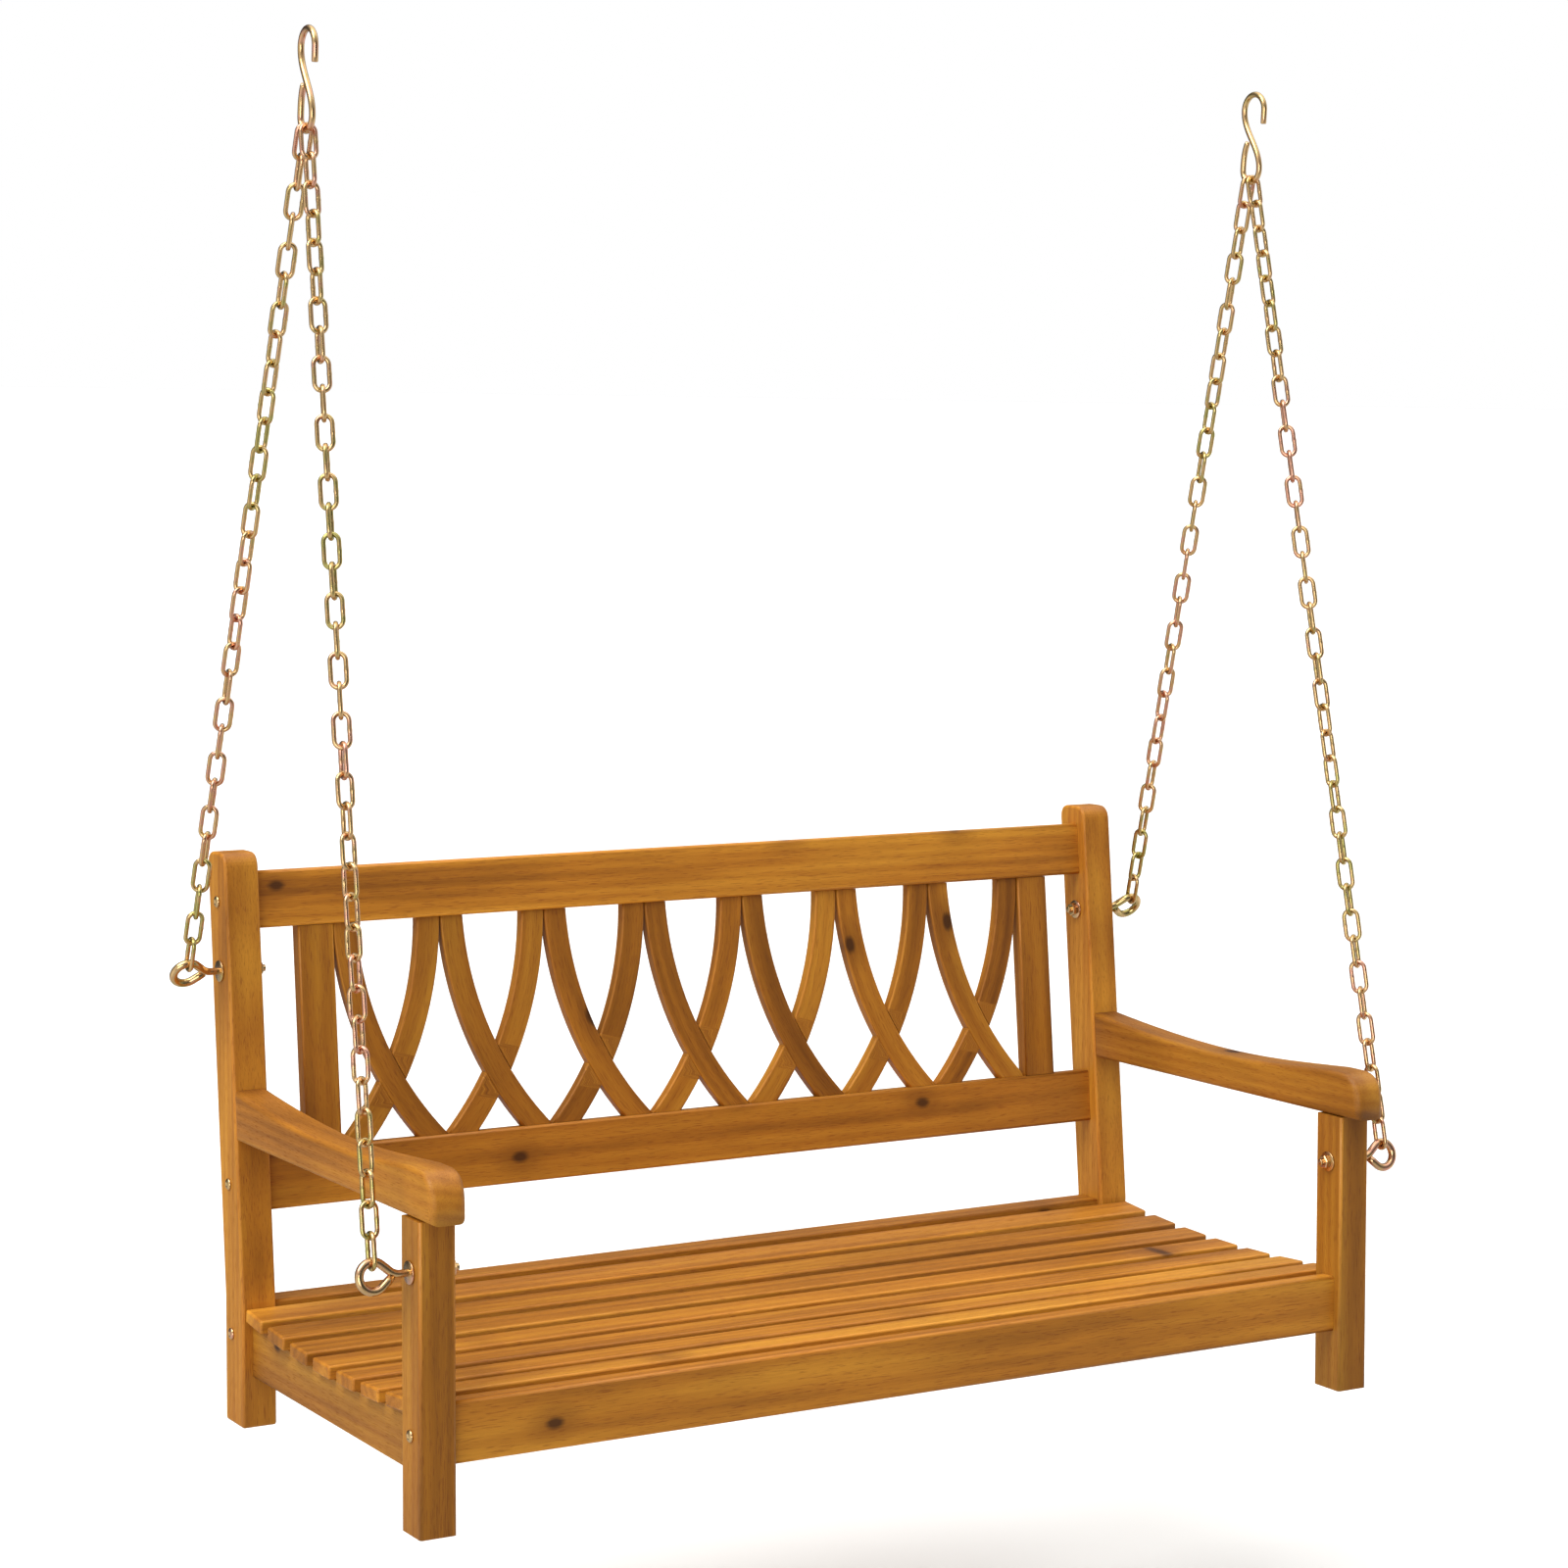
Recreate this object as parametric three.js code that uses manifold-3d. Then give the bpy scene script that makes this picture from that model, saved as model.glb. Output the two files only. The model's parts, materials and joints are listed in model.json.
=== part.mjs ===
// Porch swing: a slatted garden bench hung by four chains from two S-hooks.
// Millimetres, +X to the right as seen from the front, -Y to the front, +Z up.
// The bench is drawn standing level with its feet at z = 0, then hung from the hooks at the
// lean that its own weight gives it. The origin is midway between the two hooks' bearing points.

import * as THREE from 'three';
import { mergeVertices } from 'three/addons/utils/BufferGeometryUtils.js';
import Module from 'manifold-3d';

const wasm = await Module();
wasm.setup();

// ---------------------------------------------------------------- driving sizes

const GAP = 0.3;                     // left between any two pieces that touch

const HALF_WIDTH = 600;              // centre of the bench to the outer face of an end
const FRAME_DEPTH = 528;             // front of the front legs to the back of the posts' feet
const LEG_WIDTH = 40;
const LEG_DEPTH = 45;
const LEG_HEIGHT = 320;

const POST_DEPTH = 52;
const POST_HEIGHT = 637;
const POST_CROWN_RADIUS = 17;
const KINK_HEIGHT = 140;             // above this the posts lean back
const LEAN_SLOPE = 0.092;            // how far back per millimetre up
const LEAN_ANGLE = Math.atan(LEAN_SLOPE);

const ARM_FRONT = -28;               // the armrest's nose, ahead of the leg
const ARM_TOP_FRONT = 372.3;
const ARM_TOP_BACK = 375.5;
const ARM_NOSE_RADIUS = 34;
const ARM_NOSE_FLAT = 24;            // level top behind the rounded nose
const ARM_LIP = 4;                   // corner cut off under the nose
const ARM_HOLLOW_BACK = { y: 260, z: 352 };    // the two handles of the top's hollow curve
const ARM_HOLLOW_FRONT = { y: 170, z: 362 };
const ARM_CORNER_RADIUS = 9;

const RAIL_HEIGHT = 64;              // back rails, front apron and rear seat rail
const RAIL_THICKNESS = 22;
const TOP_RAIL_BOTTOM = 550;
const LOWER_RAIL_BOTTOM = 236.5;
const EDGE_CHAMFER = 3;
const FINE_CHAMFER = 2;

const APRON_SETBACK = 10;
const APRON_BOTTOM = 69;
const REAR_RAIL_SETBACK = 8;         // behind the front of the posts
const SIDE_RAIL_SETBACK = 12;
const SIDE_RAIL_BOTTOM = 57;

const SLAT_COUNT = 7;
const SLAT_WIDTH = 45;
const SLAT_THICKNESS = 15;
const SLAT_END_SETBACK = 3;
const FRONT_SLAT_SETBACK = 3;        // from the front leg to the first slat
const BACK_SLAT_SETBACK = 1.5;       // from the last slat to the post
const SEAT_LOW_HEIGHT = 123;         // lowest point of the dished seat
const SEAT_LOW_Y = 255;
const SEAT_DISH_RADIUS = 2000;
const REAR_SLAT_WIDTH = 36;
const REAR_SLAT_TOP = 139;

const CURVED_PAIRS = 7;
const CURVED_WIDTH = 28.5;
const CURVED_THICKNESS = 14;
const CURVED_RADIUS = 401;           // centreline of a curved back slat
const CURVED_RISE = 14;              // its arc stands upright this far above the top rail's edge
const CURVED_SPAN = 466;             // centre of the back to a straight slat's inner edge
const STRAIGHT_WIDTH = 43;
const STRAIGHT_THICKNESS = 18;

const FRONT_EYE_HEIGHT = 266;
const REAR_EYE_HEIGHT = 505;
const EYE_REACH = 40;                // outer face of the leg to the centre of the ring
const EYE_RING_RADIUS = 14.7;
const EYE_WIRE_RADIUS = 4.6;
const EYE_NECK_RADIUS = 5;
const SHANK_RADIUS = 4;
const SHANK_STUB = 13;               // threaded end standing out past the inner face
const REAR_EYE_TURN = THREE.MathUtils.degToRad(36);
const WASHER_RADIUS = 12;
const WASHER_THICKNESS = 2;
const NUT_RADIUS = 8.2;
const NUT_THICKNESS = 8.5;            // with the washer behind it

const HOOK_X = 609;
const HOOK_Y = 250;
const HOOK_EYE_HEIGHT = 1427;        // centre of the bend that the chains hang in
const HOOK_WIRE_RADIUS = 3.5;
const HOOK_EYE_RADIUS = 15.5;
const HOOK_TOP_RADIUS = 19;
const HOOK_TOP_RISE = 70;            // lower bend's centre to the upper bend's centre
const HOOK_TIP = 16;                 // straight end below the upper bend's centre
const HOOK_SWEEP = 26;               // how far the crossing shank keeps straight at either end
const HOOK_CURL = [                  // the closed end, from the lower bend up to the shank
  { y: HOOK_EYE_RADIUS, z: 14 }, { y: HOOK_EYE_RADIUS - 1, z: 22 }, { y: 9.4, z: 32.5 },
];

const FRONT_LINKS = 38;
const REAR_LINKS = 30;
const LINK_WIRE_RADIUS = 2.5;
const LINK_BEND_RADIUS = 8;          // centreline of a link's round end
const LINK_BITE = 0.4;               // how far neighbouring links of one strand sink together
const TOP_LINK_SPREAD = THREE.MathUtils.degToRad(3);

const WOOD_DENSITY = 600;            // kg per cubic metre
const STEEL_DENSITY = 7850;

// ---------------------------------------------------------------- places worked out from them

const POST_FRONT = FRAME_DEPTH - POST_DEPTH;
const LEG_INNER_X = HALF_WIDTH - LEG_WIDTH;
const END_MIDDLE_X = HALF_WIDTH - LEG_WIDTH / 2;
const POST_MIDDLE = POST_FRONT + POST_DEPTH / 2;
const SIDES = [['left', -1], ['right', 1]];
const OVERRUN = 1;                   // how far a cutter or a joined rod runs past the surface

const postFrontAt = (z) => POST_FRONT + LEAN_SLOPE * Math.max(0, z - KINK_HEIGHT);
const postMiddleAt = (z) => postFrontAt(z) + POST_DEPTH / 2;
const seatTopAt = (y) => SEAT_LOW_HEIGHT + (y - SEAT_LOW_Y) ** 2 / (2 * SEAT_DISH_RADIUS);
// along the leaning back, from the kink, for a height above the floor
const alongBack = (z) => (z - KINK_HEIGHT) / Math.cos(LEAN_ANGLE);

// ---------------------------------------------------------------- materials

function wood(name, colour) {
  return new THREE.MeshStandardMaterial({ name, color: colour, roughness: 0.5, metalness: 0 });
}

function steel(name, colour) {
  return new THREE.MeshStandardMaterial({ name, color: colour, roughness: 0.35, metalness: 1 });
}

const FRAME_WOOD = wood('frame_wood', 0xb87328);
const SEAT_WOOD = wood('seat_wood', 0xb06c26);
const BACK_WOOD = wood('back_wood', 0xbd7a30);
const YELLOW_STEEL = steel('yellow_zinc_steel', 0xc9a65c);

// ---------------------------------------------------------------- solids

function toSolid(geometry) {
  const bare = geometry.clone();
  bare.deleteAttribute('normal');
  bare.deleteAttribute('uv');
  const merged = mergeVertices(bare, 1e-4);
  const mesh = new wasm.Mesh({
    numProp: 3,
    vertProperties: new Float32Array(merged.attributes.position.array),
    triVerts: new Uint32Array(merged.index.array),
  });
  return new wasm.Manifold(mesh);
}

function toGeometry(solid) {
  const mesh = solid.getMesh();
  const geometry = new THREE.BufferGeometry();
  geometry.setAttribute('position', new THREE.BufferAttribute(mesh.vertProperties, 3));
  geometry.setIndex(new THREE.BufferAttribute(mesh.triVerts, 1));
  const faceted = geometry.toNonIndexed();
  faceted.computeVertexNormals();
  return faceted;
}

const X_AXIS = new THREE.Vector3(1, 0, 0);
const Y_AXIS = new THREE.Vector3(0, 1, 0);
const Z_AXIS = new THREE.Vector3(0, 0, 1);

// A flat outline pushed out along an axis. The outline's own two axes are the other two, in the
// order Y Z, X Z and X Y.
function extrude(shape, length, curveSegments) {
  return new THREE.ExtrudeGeometry(shape, { depth: length, bevelEnabled: false, curveSegments });
}

function alongX(shape, from, to, curveSegments = 6) {
  const turn = new THREE.Matrix4().makeBasis(Y_AXIS, Z_AXIS, X_AXIS).setPosition(from, 0, 0);
  return extrude(shape, to - from, curveSegments).applyMatrix4(turn);
}

function alongY(shape, from, to, curveSegments = 6) {
  const back = Y_AXIS.clone().negate();
  const turn = new THREE.Matrix4().makeBasis(X_AXIS, Z_AXIS, back).setPosition(0, to, 0);
  return extrude(shape, to - from, curveSegments).applyMatrix4(turn);
}

function alongZ(shape, from, to, curveSegments = 6) {
  return extrude(shape, to - from, curveSegments).translate(0, 0, from);
}

function outline(points) {
  return new THREE.Shape(points.map(([u, v]) => new THREE.Vector2(u, v)));
}

// A rectangle about the origin with its corners cut off.
function boardOutline(width, height, chamfer = EDGE_CHAMFER) {
  const u = width / 2;
  const v = height / 2;
  return outline([
    [-u + chamfer, -v], [u - chamfer, -v], [u, -v + chamfer], [u, v - chamfer],
    [u - chamfer, v], [-u + chamfer, v], [-u, v - chamfer], [-u, -v + chamfer],
  ]);
}

// A board lying along X. Its section is turned by `tilt` about X and centred on (y, z).
function crossBoard(halfLength, width, thickness, y, z, tilt = 0) {
  return alongX(boardOutline(width, thickness), -halfLength, halfLength)
    .rotateX(tilt)
    .translate(0, y, z);
}

function rodAlongX(radius, from, to, sides = 8) {
  return new THREE.CylinderGeometry(radius, radius, to - from, sides)
    .rotateZ(Math.PI / 2)
    .translate((from + to) / 2, 0, 0);
}

// ---------------------------------------------------------------- the bench, standing level

const balance = [];                  // every hanging piece with its density, weighed at the end

function addTo(group, name, geometry, material, density) {
  const mesh = new THREE.Mesh(geometry, material);
  mesh.name = name;
  group.add(mesh);
  if (density) {
    balance.push([geometry, density]);
  }
  return mesh;
}

const hanging = new THREE.Group();
const addWood = (name, geometry, material) => addTo(hanging, name, geometry, material, WOOD_DENSITY);
const addSteel = (name, geometry) => addTo(hanging, name, geometry, YELLOW_STEEL, STEEL_DENSITY);

function boredForBolt(geometry, y, z) {
  const reach = HALF_WIDTH + OVERRUN;
  const bore = rodAlongX(SHANK_RADIUS + GAP, -reach, reach).translate(0, y, z);
  return toGeometry(toSolid(geometry).subtract(toSolid(bore)));
}

function addFrontLegs() {
  for (const [side, sign] of SIDES) {
    const section = boardOutline(LEG_WIDTH, LEG_DEPTH);
    const leg = alongZ(section, 0, LEG_HEIGHT - GAP)
      .translate(sign * END_MIDDLE_X, LEG_DEPTH / 2, 0);
    addWood(`front_leg_${side}`, boredForBolt(leg, LEG_DEPTH / 2, FRONT_EYE_HEIGHT), FRAME_WOOD);
  }
}

function postOutline() {
  const lean = LEAN_SLOPE * (POST_HEIGHT - KINK_HEIGHT);
  const radius = POST_CROWN_RADIUS;
  const shoulder = POST_HEIGHT - radius;
  const shoulderLean = LEAN_SLOPE * (shoulder - KINK_HEIGHT);
  const shape = new THREE.Shape();
  shape.moveTo(POST_FRONT, 0);
  shape.lineTo(FRAME_DEPTH, 0);
  shape.lineTo(FRAME_DEPTH, KINK_HEIGHT);
  shape.lineTo(FRAME_DEPTH + shoulderLean, shoulder);
  shape.quadraticCurveTo(
    FRAME_DEPTH + lean, POST_HEIGHT, FRAME_DEPTH + lean - radius, POST_HEIGHT);
  shape.lineTo(POST_FRONT + lean + radius, POST_HEIGHT);
  shape.quadraticCurveTo(
    POST_FRONT + lean, POST_HEIGHT, POST_FRONT + shoulderLean, shoulder);
  shape.lineTo(POST_FRONT, KINK_HEIGHT);
  shape.closePath();
  return shape;
}

function addBackPosts() {
  for (const [side, sign] of SIDES) {
    const post = alongX(postOutline(), -LEG_WIDTH / 2, LEG_WIDTH / 2)
      .translate(sign * END_MIDDLE_X, 0, 0);
    const bored = boredForBolt(post, postMiddleAt(REAR_EYE_HEIGHT), REAR_EYE_HEIGHT);
    addWood(`back_post_${side}`, bored, FRAME_WOOD);
  }
}

function armOutline() {
  const noseTop = ARM_FRONT + ARM_NOSE_RADIUS;
  const noseSide = ARM_TOP_FRONT - ARM_NOSE_RADIUS;
  const shape = new THREE.Shape();
  shape.moveTo(postFrontAt(LEG_HEIGHT) - GAP, LEG_HEIGHT);
  shape.lineTo(postFrontAt(ARM_TOP_BACK) - GAP, ARM_TOP_BACK);
  shape.bezierCurveTo(
    ARM_HOLLOW_BACK.y, ARM_HOLLOW_BACK.z, ARM_HOLLOW_FRONT.y, ARM_HOLLOW_FRONT.z,
    noseTop + ARM_NOSE_FLAT, ARM_TOP_FRONT);
  shape.lineTo(noseTop, ARM_TOP_FRONT);
  shape.quadraticCurveTo(ARM_FRONT, ARM_TOP_FRONT, ARM_FRONT, noseSide);
  shape.lineTo(ARM_FRONT, LEG_HEIGHT + ARM_LIP);
  shape.lineTo(ARM_FRONT + ARM_LIP, LEG_HEIGHT);
  shape.closePath();
  return shape;
}

// The armrest seen from above: its two front corners are round.
function armPlan() {
  const half = LEG_WIDTH / 2;
  const radius = ARM_CORNER_RADIUS;
  const shape = new THREE.Shape();
  shape.moveTo(half, FRAME_DEPTH);
  shape.lineTo(-half, FRAME_DEPTH);
  shape.lineTo(-half, ARM_FRONT + radius);
  shape.absarc(-half + radius, ARM_FRONT + radius, radius, Math.PI, 1.5 * Math.PI);
  shape.absarc(half - radius, ARM_FRONT + radius, radius, 1.5 * Math.PI, 2 * Math.PI);
  shape.closePath();
  return shape;
}

function addArmrests() {
  for (const [side, sign] of SIDES) {
    const profile = toSolid(alongX(armOutline(), -LEG_WIDTH / 2, LEG_WIDTH / 2, 8));
    const plan = toSolid(alongZ(armPlan(), LEG_HEIGHT - OVERRUN, ARM_TOP_BACK + OVERRUN, 4));
    const arm = toGeometry(profile.intersect(plan));
    addWood(`armrest_${side}`, arm.translate(sign * END_MIDDLE_X, 0, 0), FRAME_WOOD);
  }
}

// ---------------------------------------------------------------- seat

const CROSS_HALF = LEG_INNER_X - GAP;
const APRON_MIDDLE_Y = APRON_SETBACK + RAIL_THICKNESS / 2;
const SEAT_RAIL_MIDDLE_Z = APRON_BOTTOM + RAIL_HEIGHT / 2;
const REAR_RAIL_FRONT = POST_FRONT + REAR_RAIL_SETBACK;
const REAR_RAIL_TOP = REAR_SLAT_TOP - SLAT_THICKNESS - GAP;
const FRONT_SLAT_Y = LEG_DEPTH + FRONT_SLAT_SETBACK + SLAT_WIDTH / 2;
const BACK_SLAT_Y = POST_FRONT - BACK_SLAT_SETBACK - SLAT_WIDTH / 2;
const SLAT_PITCH = (BACK_SLAT_Y - FRONT_SLAT_Y) / (SLAT_COUNT - 1);

function addSeatRails() {
  const apron = crossBoard(
    CROSS_HALF, RAIL_THICKNESS, RAIL_HEIGHT, APRON_MIDDLE_Y, SEAT_RAIL_MIDDLE_Z);
  addWood('front_apron', apron, SEAT_WOOD);
  const rearHeight = REAR_RAIL_TOP - APRON_BOTTOM;
  const rear = crossBoard(CROSS_HALF, RAIL_THICKNESS, rearHeight,
    REAR_RAIL_FRONT + RAIL_THICKNESS / 2, APRON_BOTTOM + rearHeight / 2);
  addWood('rear_seat_rail', rear, SEAT_WOOD);
}

// A board on edge whose top follows the underside of the dished seat.
function dishedBoard(bottom, front, back, thickness) {
  const slack = GAP + 0.15;          // the flat slats touch the curve only at their middles
  const steps = 8;
  const points = [[front, bottom], [back, bottom]];
  for (let i = steps; i >= 0; i -= 1) {
    const y = front + (back - front) * i / steps;
    points.push([y, seatTopAt(y) - SLAT_THICKNESS - slack]);
  }
  return alongX(outline(points), -thickness / 2, thickness / 2);
}

function addSeatBearers() {
  for (const [side, sign] of SIDES) {
    const outer = HALF_WIDTH - SIDE_RAIL_SETBACK;
    const rail = dishedBoard(SIDE_RAIL_BOTTOM, LEG_DEPTH + GAP, POST_FRONT - GAP, RAIL_THICKNESS);
    addWood(`side_rail_${side}`, rail.translate(sign * (outer - RAIL_THICKNESS / 2), 0, 0), SEAT_WOOD);
  }
  const front = APRON_SETBACK + RAIL_THICKNESS + GAP;
  const bearer = dishedBoard(APRON_BOTTOM, front, REAR_RAIL_FRONT - GAP, RAIL_THICKNESS);
  addWood('seat_centre_bearer', bearer, SEAT_WOOD);
}

function addSeatSlats() {
  for (let i = 0; i < SLAT_COUNT; i += 1) {
    const y = FRONT_SLAT_Y + i * SLAT_PITCH;
    const tilt = Math.atan((y - SEAT_LOW_Y) / SEAT_DISH_RADIUS);
    const middle = seatTopAt(y) - SLAT_THICKNESS / 2;
    const slat = crossBoard(
      HALF_WIDTH - SLAT_END_SETBACK, SLAT_WIDTH, SLAT_THICKNESS, y, middle, tilt);
    addWood(`seat_slat_${i + 1}`, slat, SEAT_WOOD);
  }
  const rear = crossBoard(CROSS_HALF, REAR_SLAT_WIDTH, SLAT_THICKNESS,
    REAR_RAIL_FRONT + REAR_SLAT_WIDTH / 2, REAR_SLAT_TOP - SLAT_THICKNESS / 2);
  addWood('rear_seat_slat', rear, SEAT_WOOD);
}

// ---------------------------------------------------------------- back

// The back is drawn upright about the plane y = 0 with z measured along the lean, then leant.
function leanBack(geometry) {
  return geometry.rotateX(-LEAN_ANGLE).translate(0, POST_MIDDLE, KINK_HEIGHT);
}

const BACK_RAIL_SPAN = RAIL_HEIGHT / Math.cos(LEAN_ANGLE);
const SLATS_BOTTOM = alongBack(LOWER_RAIL_BOTTOM) + BACK_RAIL_SPAN;
const SLATS_TOP = alongBack(TOP_RAIL_BOTTOM);
const CURVED_PITCH = 2 * CURVED_SPAN / CURVED_PAIRS;

function addBackRails() {
  const rails = [['back_bottom_rail', LOWER_RAIL_BOTTOM], ['back_top_rail', TOP_RAIL_BOTTOM]];
  for (const [name, bottom] of rails) {
    const middle = alongBack(bottom) + BACK_RAIL_SPAN / 2;
    const rail = crossBoard(CROSS_HALF, RAIL_THICKNESS, BACK_RAIL_SPAN, 0, middle);
    addWood(name, leanBack(rail), FRAME_WOOD);
  }
}

function addStraightBackSlats() {
  for (const [side, sign] of SIDES) {
    const middle = sign * (CURVED_SPAN + STRAIGHT_WIDTH / 2);
    const section = boardOutline(STRAIGHT_WIDTH, STRAIGHT_THICKNESS, FINE_CHAMFER);
    const slat = alongZ(section, SLATS_BOTTOM + GAP, SLATS_TOP - GAP).translate(middle, 0, 0);
    addWood(`back_slat_${side}`, leanBack(slat), BACK_WOOD);
  }
}

// One curved slat that starts upright under the top rail at x = 0 and bends towards `sign`.
// `margin` makes it wider on both sides.
function curvedOutline(sign, margin) {
  const steps = 9;
  const centreHeight = SLATS_TOP + CURVED_RISE;
  const edge = (radius, heights) => heights.map((z) => {
    const angle = Math.asin((centreHeight - z) / radius);
    return [sign * (CURVED_RADIUS - radius * Math.cos(angle)), z];
  });
  const top = SLATS_TOP - GAP;
  const bottom = SLATS_BOTTOM + GAP;
  const heights = Array.from({ length: steps + 1 }, (_, i) => bottom + (top - bottom) * i / steps);
  const half = CURVED_WIDTH / 2 + margin;
  const inner = edge(CURVED_RADIUS - half, heights);
  const outer = edge(CURVED_RADIUS + half, [...heights].reverse());
  return outline(sign > 0 ? [...inner, ...outer] : [...inner, ...outer].reverse());
}

function curvedSolid(sign, x, front, back, margin) {
  return toSolid(alongY(curvedOutline(sign, margin), front, back).translate(x, 0, 0));
}

// Each crossing pair is half-lapped: the slat that falls to the right runs through in front.
function addCurvedBackSlats() {
  const half = CURVED_THICKNESS / 2;
  const offset = CURVED_WIDTH / 2 + GAP / 2;
  for (let k = 0; k < CURVED_PAIRS; k += 1) {
    const left = -CURVED_SPAN + k * CURVED_PITCH + offset;
    const right = -CURVED_SPAN + (k + 1) * CURVED_PITCH - offset;
    const falling = curvedSolid(1, left, -half, half, 0)
      .subtract(curvedSolid(-1, right, -GAP / 2, half + OVERRUN, GAP));
    const rising = curvedSolid(-1, right, -half, half, 0)
      .subtract(curvedSolid(1, left, -half - OVERRUN, GAP / 2, GAP));
    addWood(`curved_slat_falling_${k + 1}`, leanBack(toGeometry(falling)), BACK_WOOD);
    addWood(`curved_slat_rising_${k + 1}`, leanBack(toGeometry(rising)), BACK_WOOD);
  }
}

// ---------------------------------------------------------------- eye bolts

const EYES = [
  { place: 'front', y: LEG_DEPTH / 2, z: FRONT_EYE_HEIGHT },
  { place: 'rear', y: postMiddleAt(REAR_EYE_HEIGHT), z: REAR_EYE_HEIGHT, turn: REAR_EYE_TURN },
];

// The front ring lies in line with its own chain, the rear one is turned further forward.
function eyeTurn(eye) {
  return eye.turn ?? Math.atan2(eye.y - HOOK_Y, HOOK_EYE_HEIGHT - eye.z);
}

const eyeUp = (eye) => new THREE.Vector3(0, -Math.sin(eyeTurn(eye)), Math.cos(eyeTurn(eye)));
const eyeCentre = (eye, sign) => new THREE.Vector3(sign * (HALF_WIDTH + EYE_REACH), eye.y, eye.z);

// An eye bolt for the end at +X, with its ring upright and its shank on the X axis.
function eyeBolt() {
  const ringX = HALF_WIDTH + EYE_REACH;
  const ring = new THREE.TorusGeometry(EYE_RING_RADIUS, EYE_WIRE_RADIUS, 6, 14)
    .rotateX(Math.PI / 2)
    .translate(ringX, 0, 0);
  const neckFrom = HALF_WIDTH + WASHER_THICKNESS + 2 * GAP;
  const neckTo = ringX - EYE_RING_RADIUS + OVERRUN;
  const neck = rodAlongX(EYE_NECK_RADIUS, neckFrom, neckTo);
  const shank = rodAlongX(SHANK_RADIUS, LEG_INNER_X - SHANK_STUB, neckFrom + OVERRUN);
  return toGeometry(toSolid(ring).add(toSolid(neck)).add(toSolid(shank)));
}

function ringPlate(radius, sides, from, to) {
  const bore = rodAlongX(SHANK_RADIUS + GAP, from - OVERRUN, to + OVERRUN);
  return toGeometry(toSolid(rodAlongX(radius, from, to, sides)).subtract(toSolid(bore)));
}

function addEyeBolts() {
  const roundSides = 16;
  const hexagonSides = 6;
  const nutTo = LEG_INNER_X - GAP;
  const washerFrom = HALF_WIDTH + GAP;
  for (const eye of EYES) {
    for (const [side, sign] of SIDES) {
      const place = new THREE.Matrix4()
        .makeTranslation(0, eye.y, eye.z)
        .multiply(new THREE.Matrix4().makeRotationX(eyeTurn(eye)))
        .multiply(new THREE.Matrix4().makeRotationZ(sign > 0 ? 0 : Math.PI));
      const bolt = eyeBolt().applyMatrix4(place);
      const washer = ringPlate(
        WASHER_RADIUS, roundSides, washerFrom, washerFrom + WASHER_THICKNESS);
      const nut = ringPlate(NUT_RADIUS, hexagonSides, nutTo - NUT_THICKNESS, nutTo);
      addSteel(`eye_bolt_${eye.place}_${side}`, bolt);
      addSteel(`washer_${eye.place}_${side}`, washer.applyMatrix4(place));
      addSteel(`nut_${eye.place}_${side}`, nut.applyMatrix4(place));
    }
  }
}

// ---------------------------------------------------------------- chains

// A ring pulled long: its two halves move apart along Z, with a flat of its facets at each end.
function chainLink(innerLength) {
  const facets = 8;
  const halfFacet = Math.PI / facets;
  const innerBend = (LINK_BEND_RADIUS - LINK_WIRE_RADIUS) * Math.cos(halfFacet);
  const stretch = innerLength / 2 - innerBend;
  const link = new THREE.TorusGeometry(LINK_BEND_RADIUS, LINK_WIRE_RADIUS, 4, facets)
    .rotateZ(halfFacet)
    .rotateX(Math.PI / 2);
  const position = link.attributes.position;
  for (let i = 0; i < position.count; i += 1) {
    position.setZ(i, position.getZ(i) + Math.sign(position.getZ(i)) * stretch);
  }
  return link;
}

// Where a strand's first link bears on the hook's eye, and its last one on the bolt's ring.
function strandEnds(eye, sign) {
  const hookEye = new THREE.Vector3(sign * HOOK_X, HOOK_Y, HOOK_EYE_HEIGHT);
  const up = hookEye.clone().sub(eyeCentre(eye, sign)).normalize();
  const slope = Math.atan2(-up.y, up.z);
  const bearing = slope + Math.sign(slope) * TOP_LINK_SPREAD;
  const top = hookEye.clone()
    .add(new THREE.Vector3(0, Math.sin(bearing), -Math.cos(bearing)).multiplyScalar(HOOK_EYE_RADIUS))
    .addScaledVector(up, HOOK_WIRE_RADIUS);
  const bottom = eyeCentre(eye, sign)
    .addScaledVector(eyeUp(eye), EYE_RING_RADIUS)
    .addScaledVector(up, -EYE_WIRE_RADIUS);
  return { top, bottom };
}

// The links of one strand, from the top down. Even ones lie flat to the front, odd ones edge on.
function strandLinks(eye, sign, count) {
  const { top, bottom } = strandEnds(eye, sign);
  const down = bottom.clone().sub(top);
  const length = down.length();
  down.normalize();
  const inner = (length + 3 * GAP - (count - 2) * LINK_BITE) / count;
  const up = down.clone().negate();
  const side = new THREE.Vector3().crossVectors(Y_AXIS, up).normalize();
  const face = new THREE.Vector3().crossVectors(up, side);
  return Array.from({ length: count }, (_, i) => {
    const bites = Math.max(0, i - 1) * LINK_BITE - (i > 0 ? GAP : 0);
    const middle = top.clone().addScaledVector(down, -GAP + inner * (i + 0.5) + bites);
    const [u, v] = i % 2 === 0 ? [side, face] : [face, side.clone().negate()];
    const place = new THREE.Matrix4().makeBasis(u, v, up).setPosition(middle);
    return chainLink(inner).applyMatrix4(place);
  });
}

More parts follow.
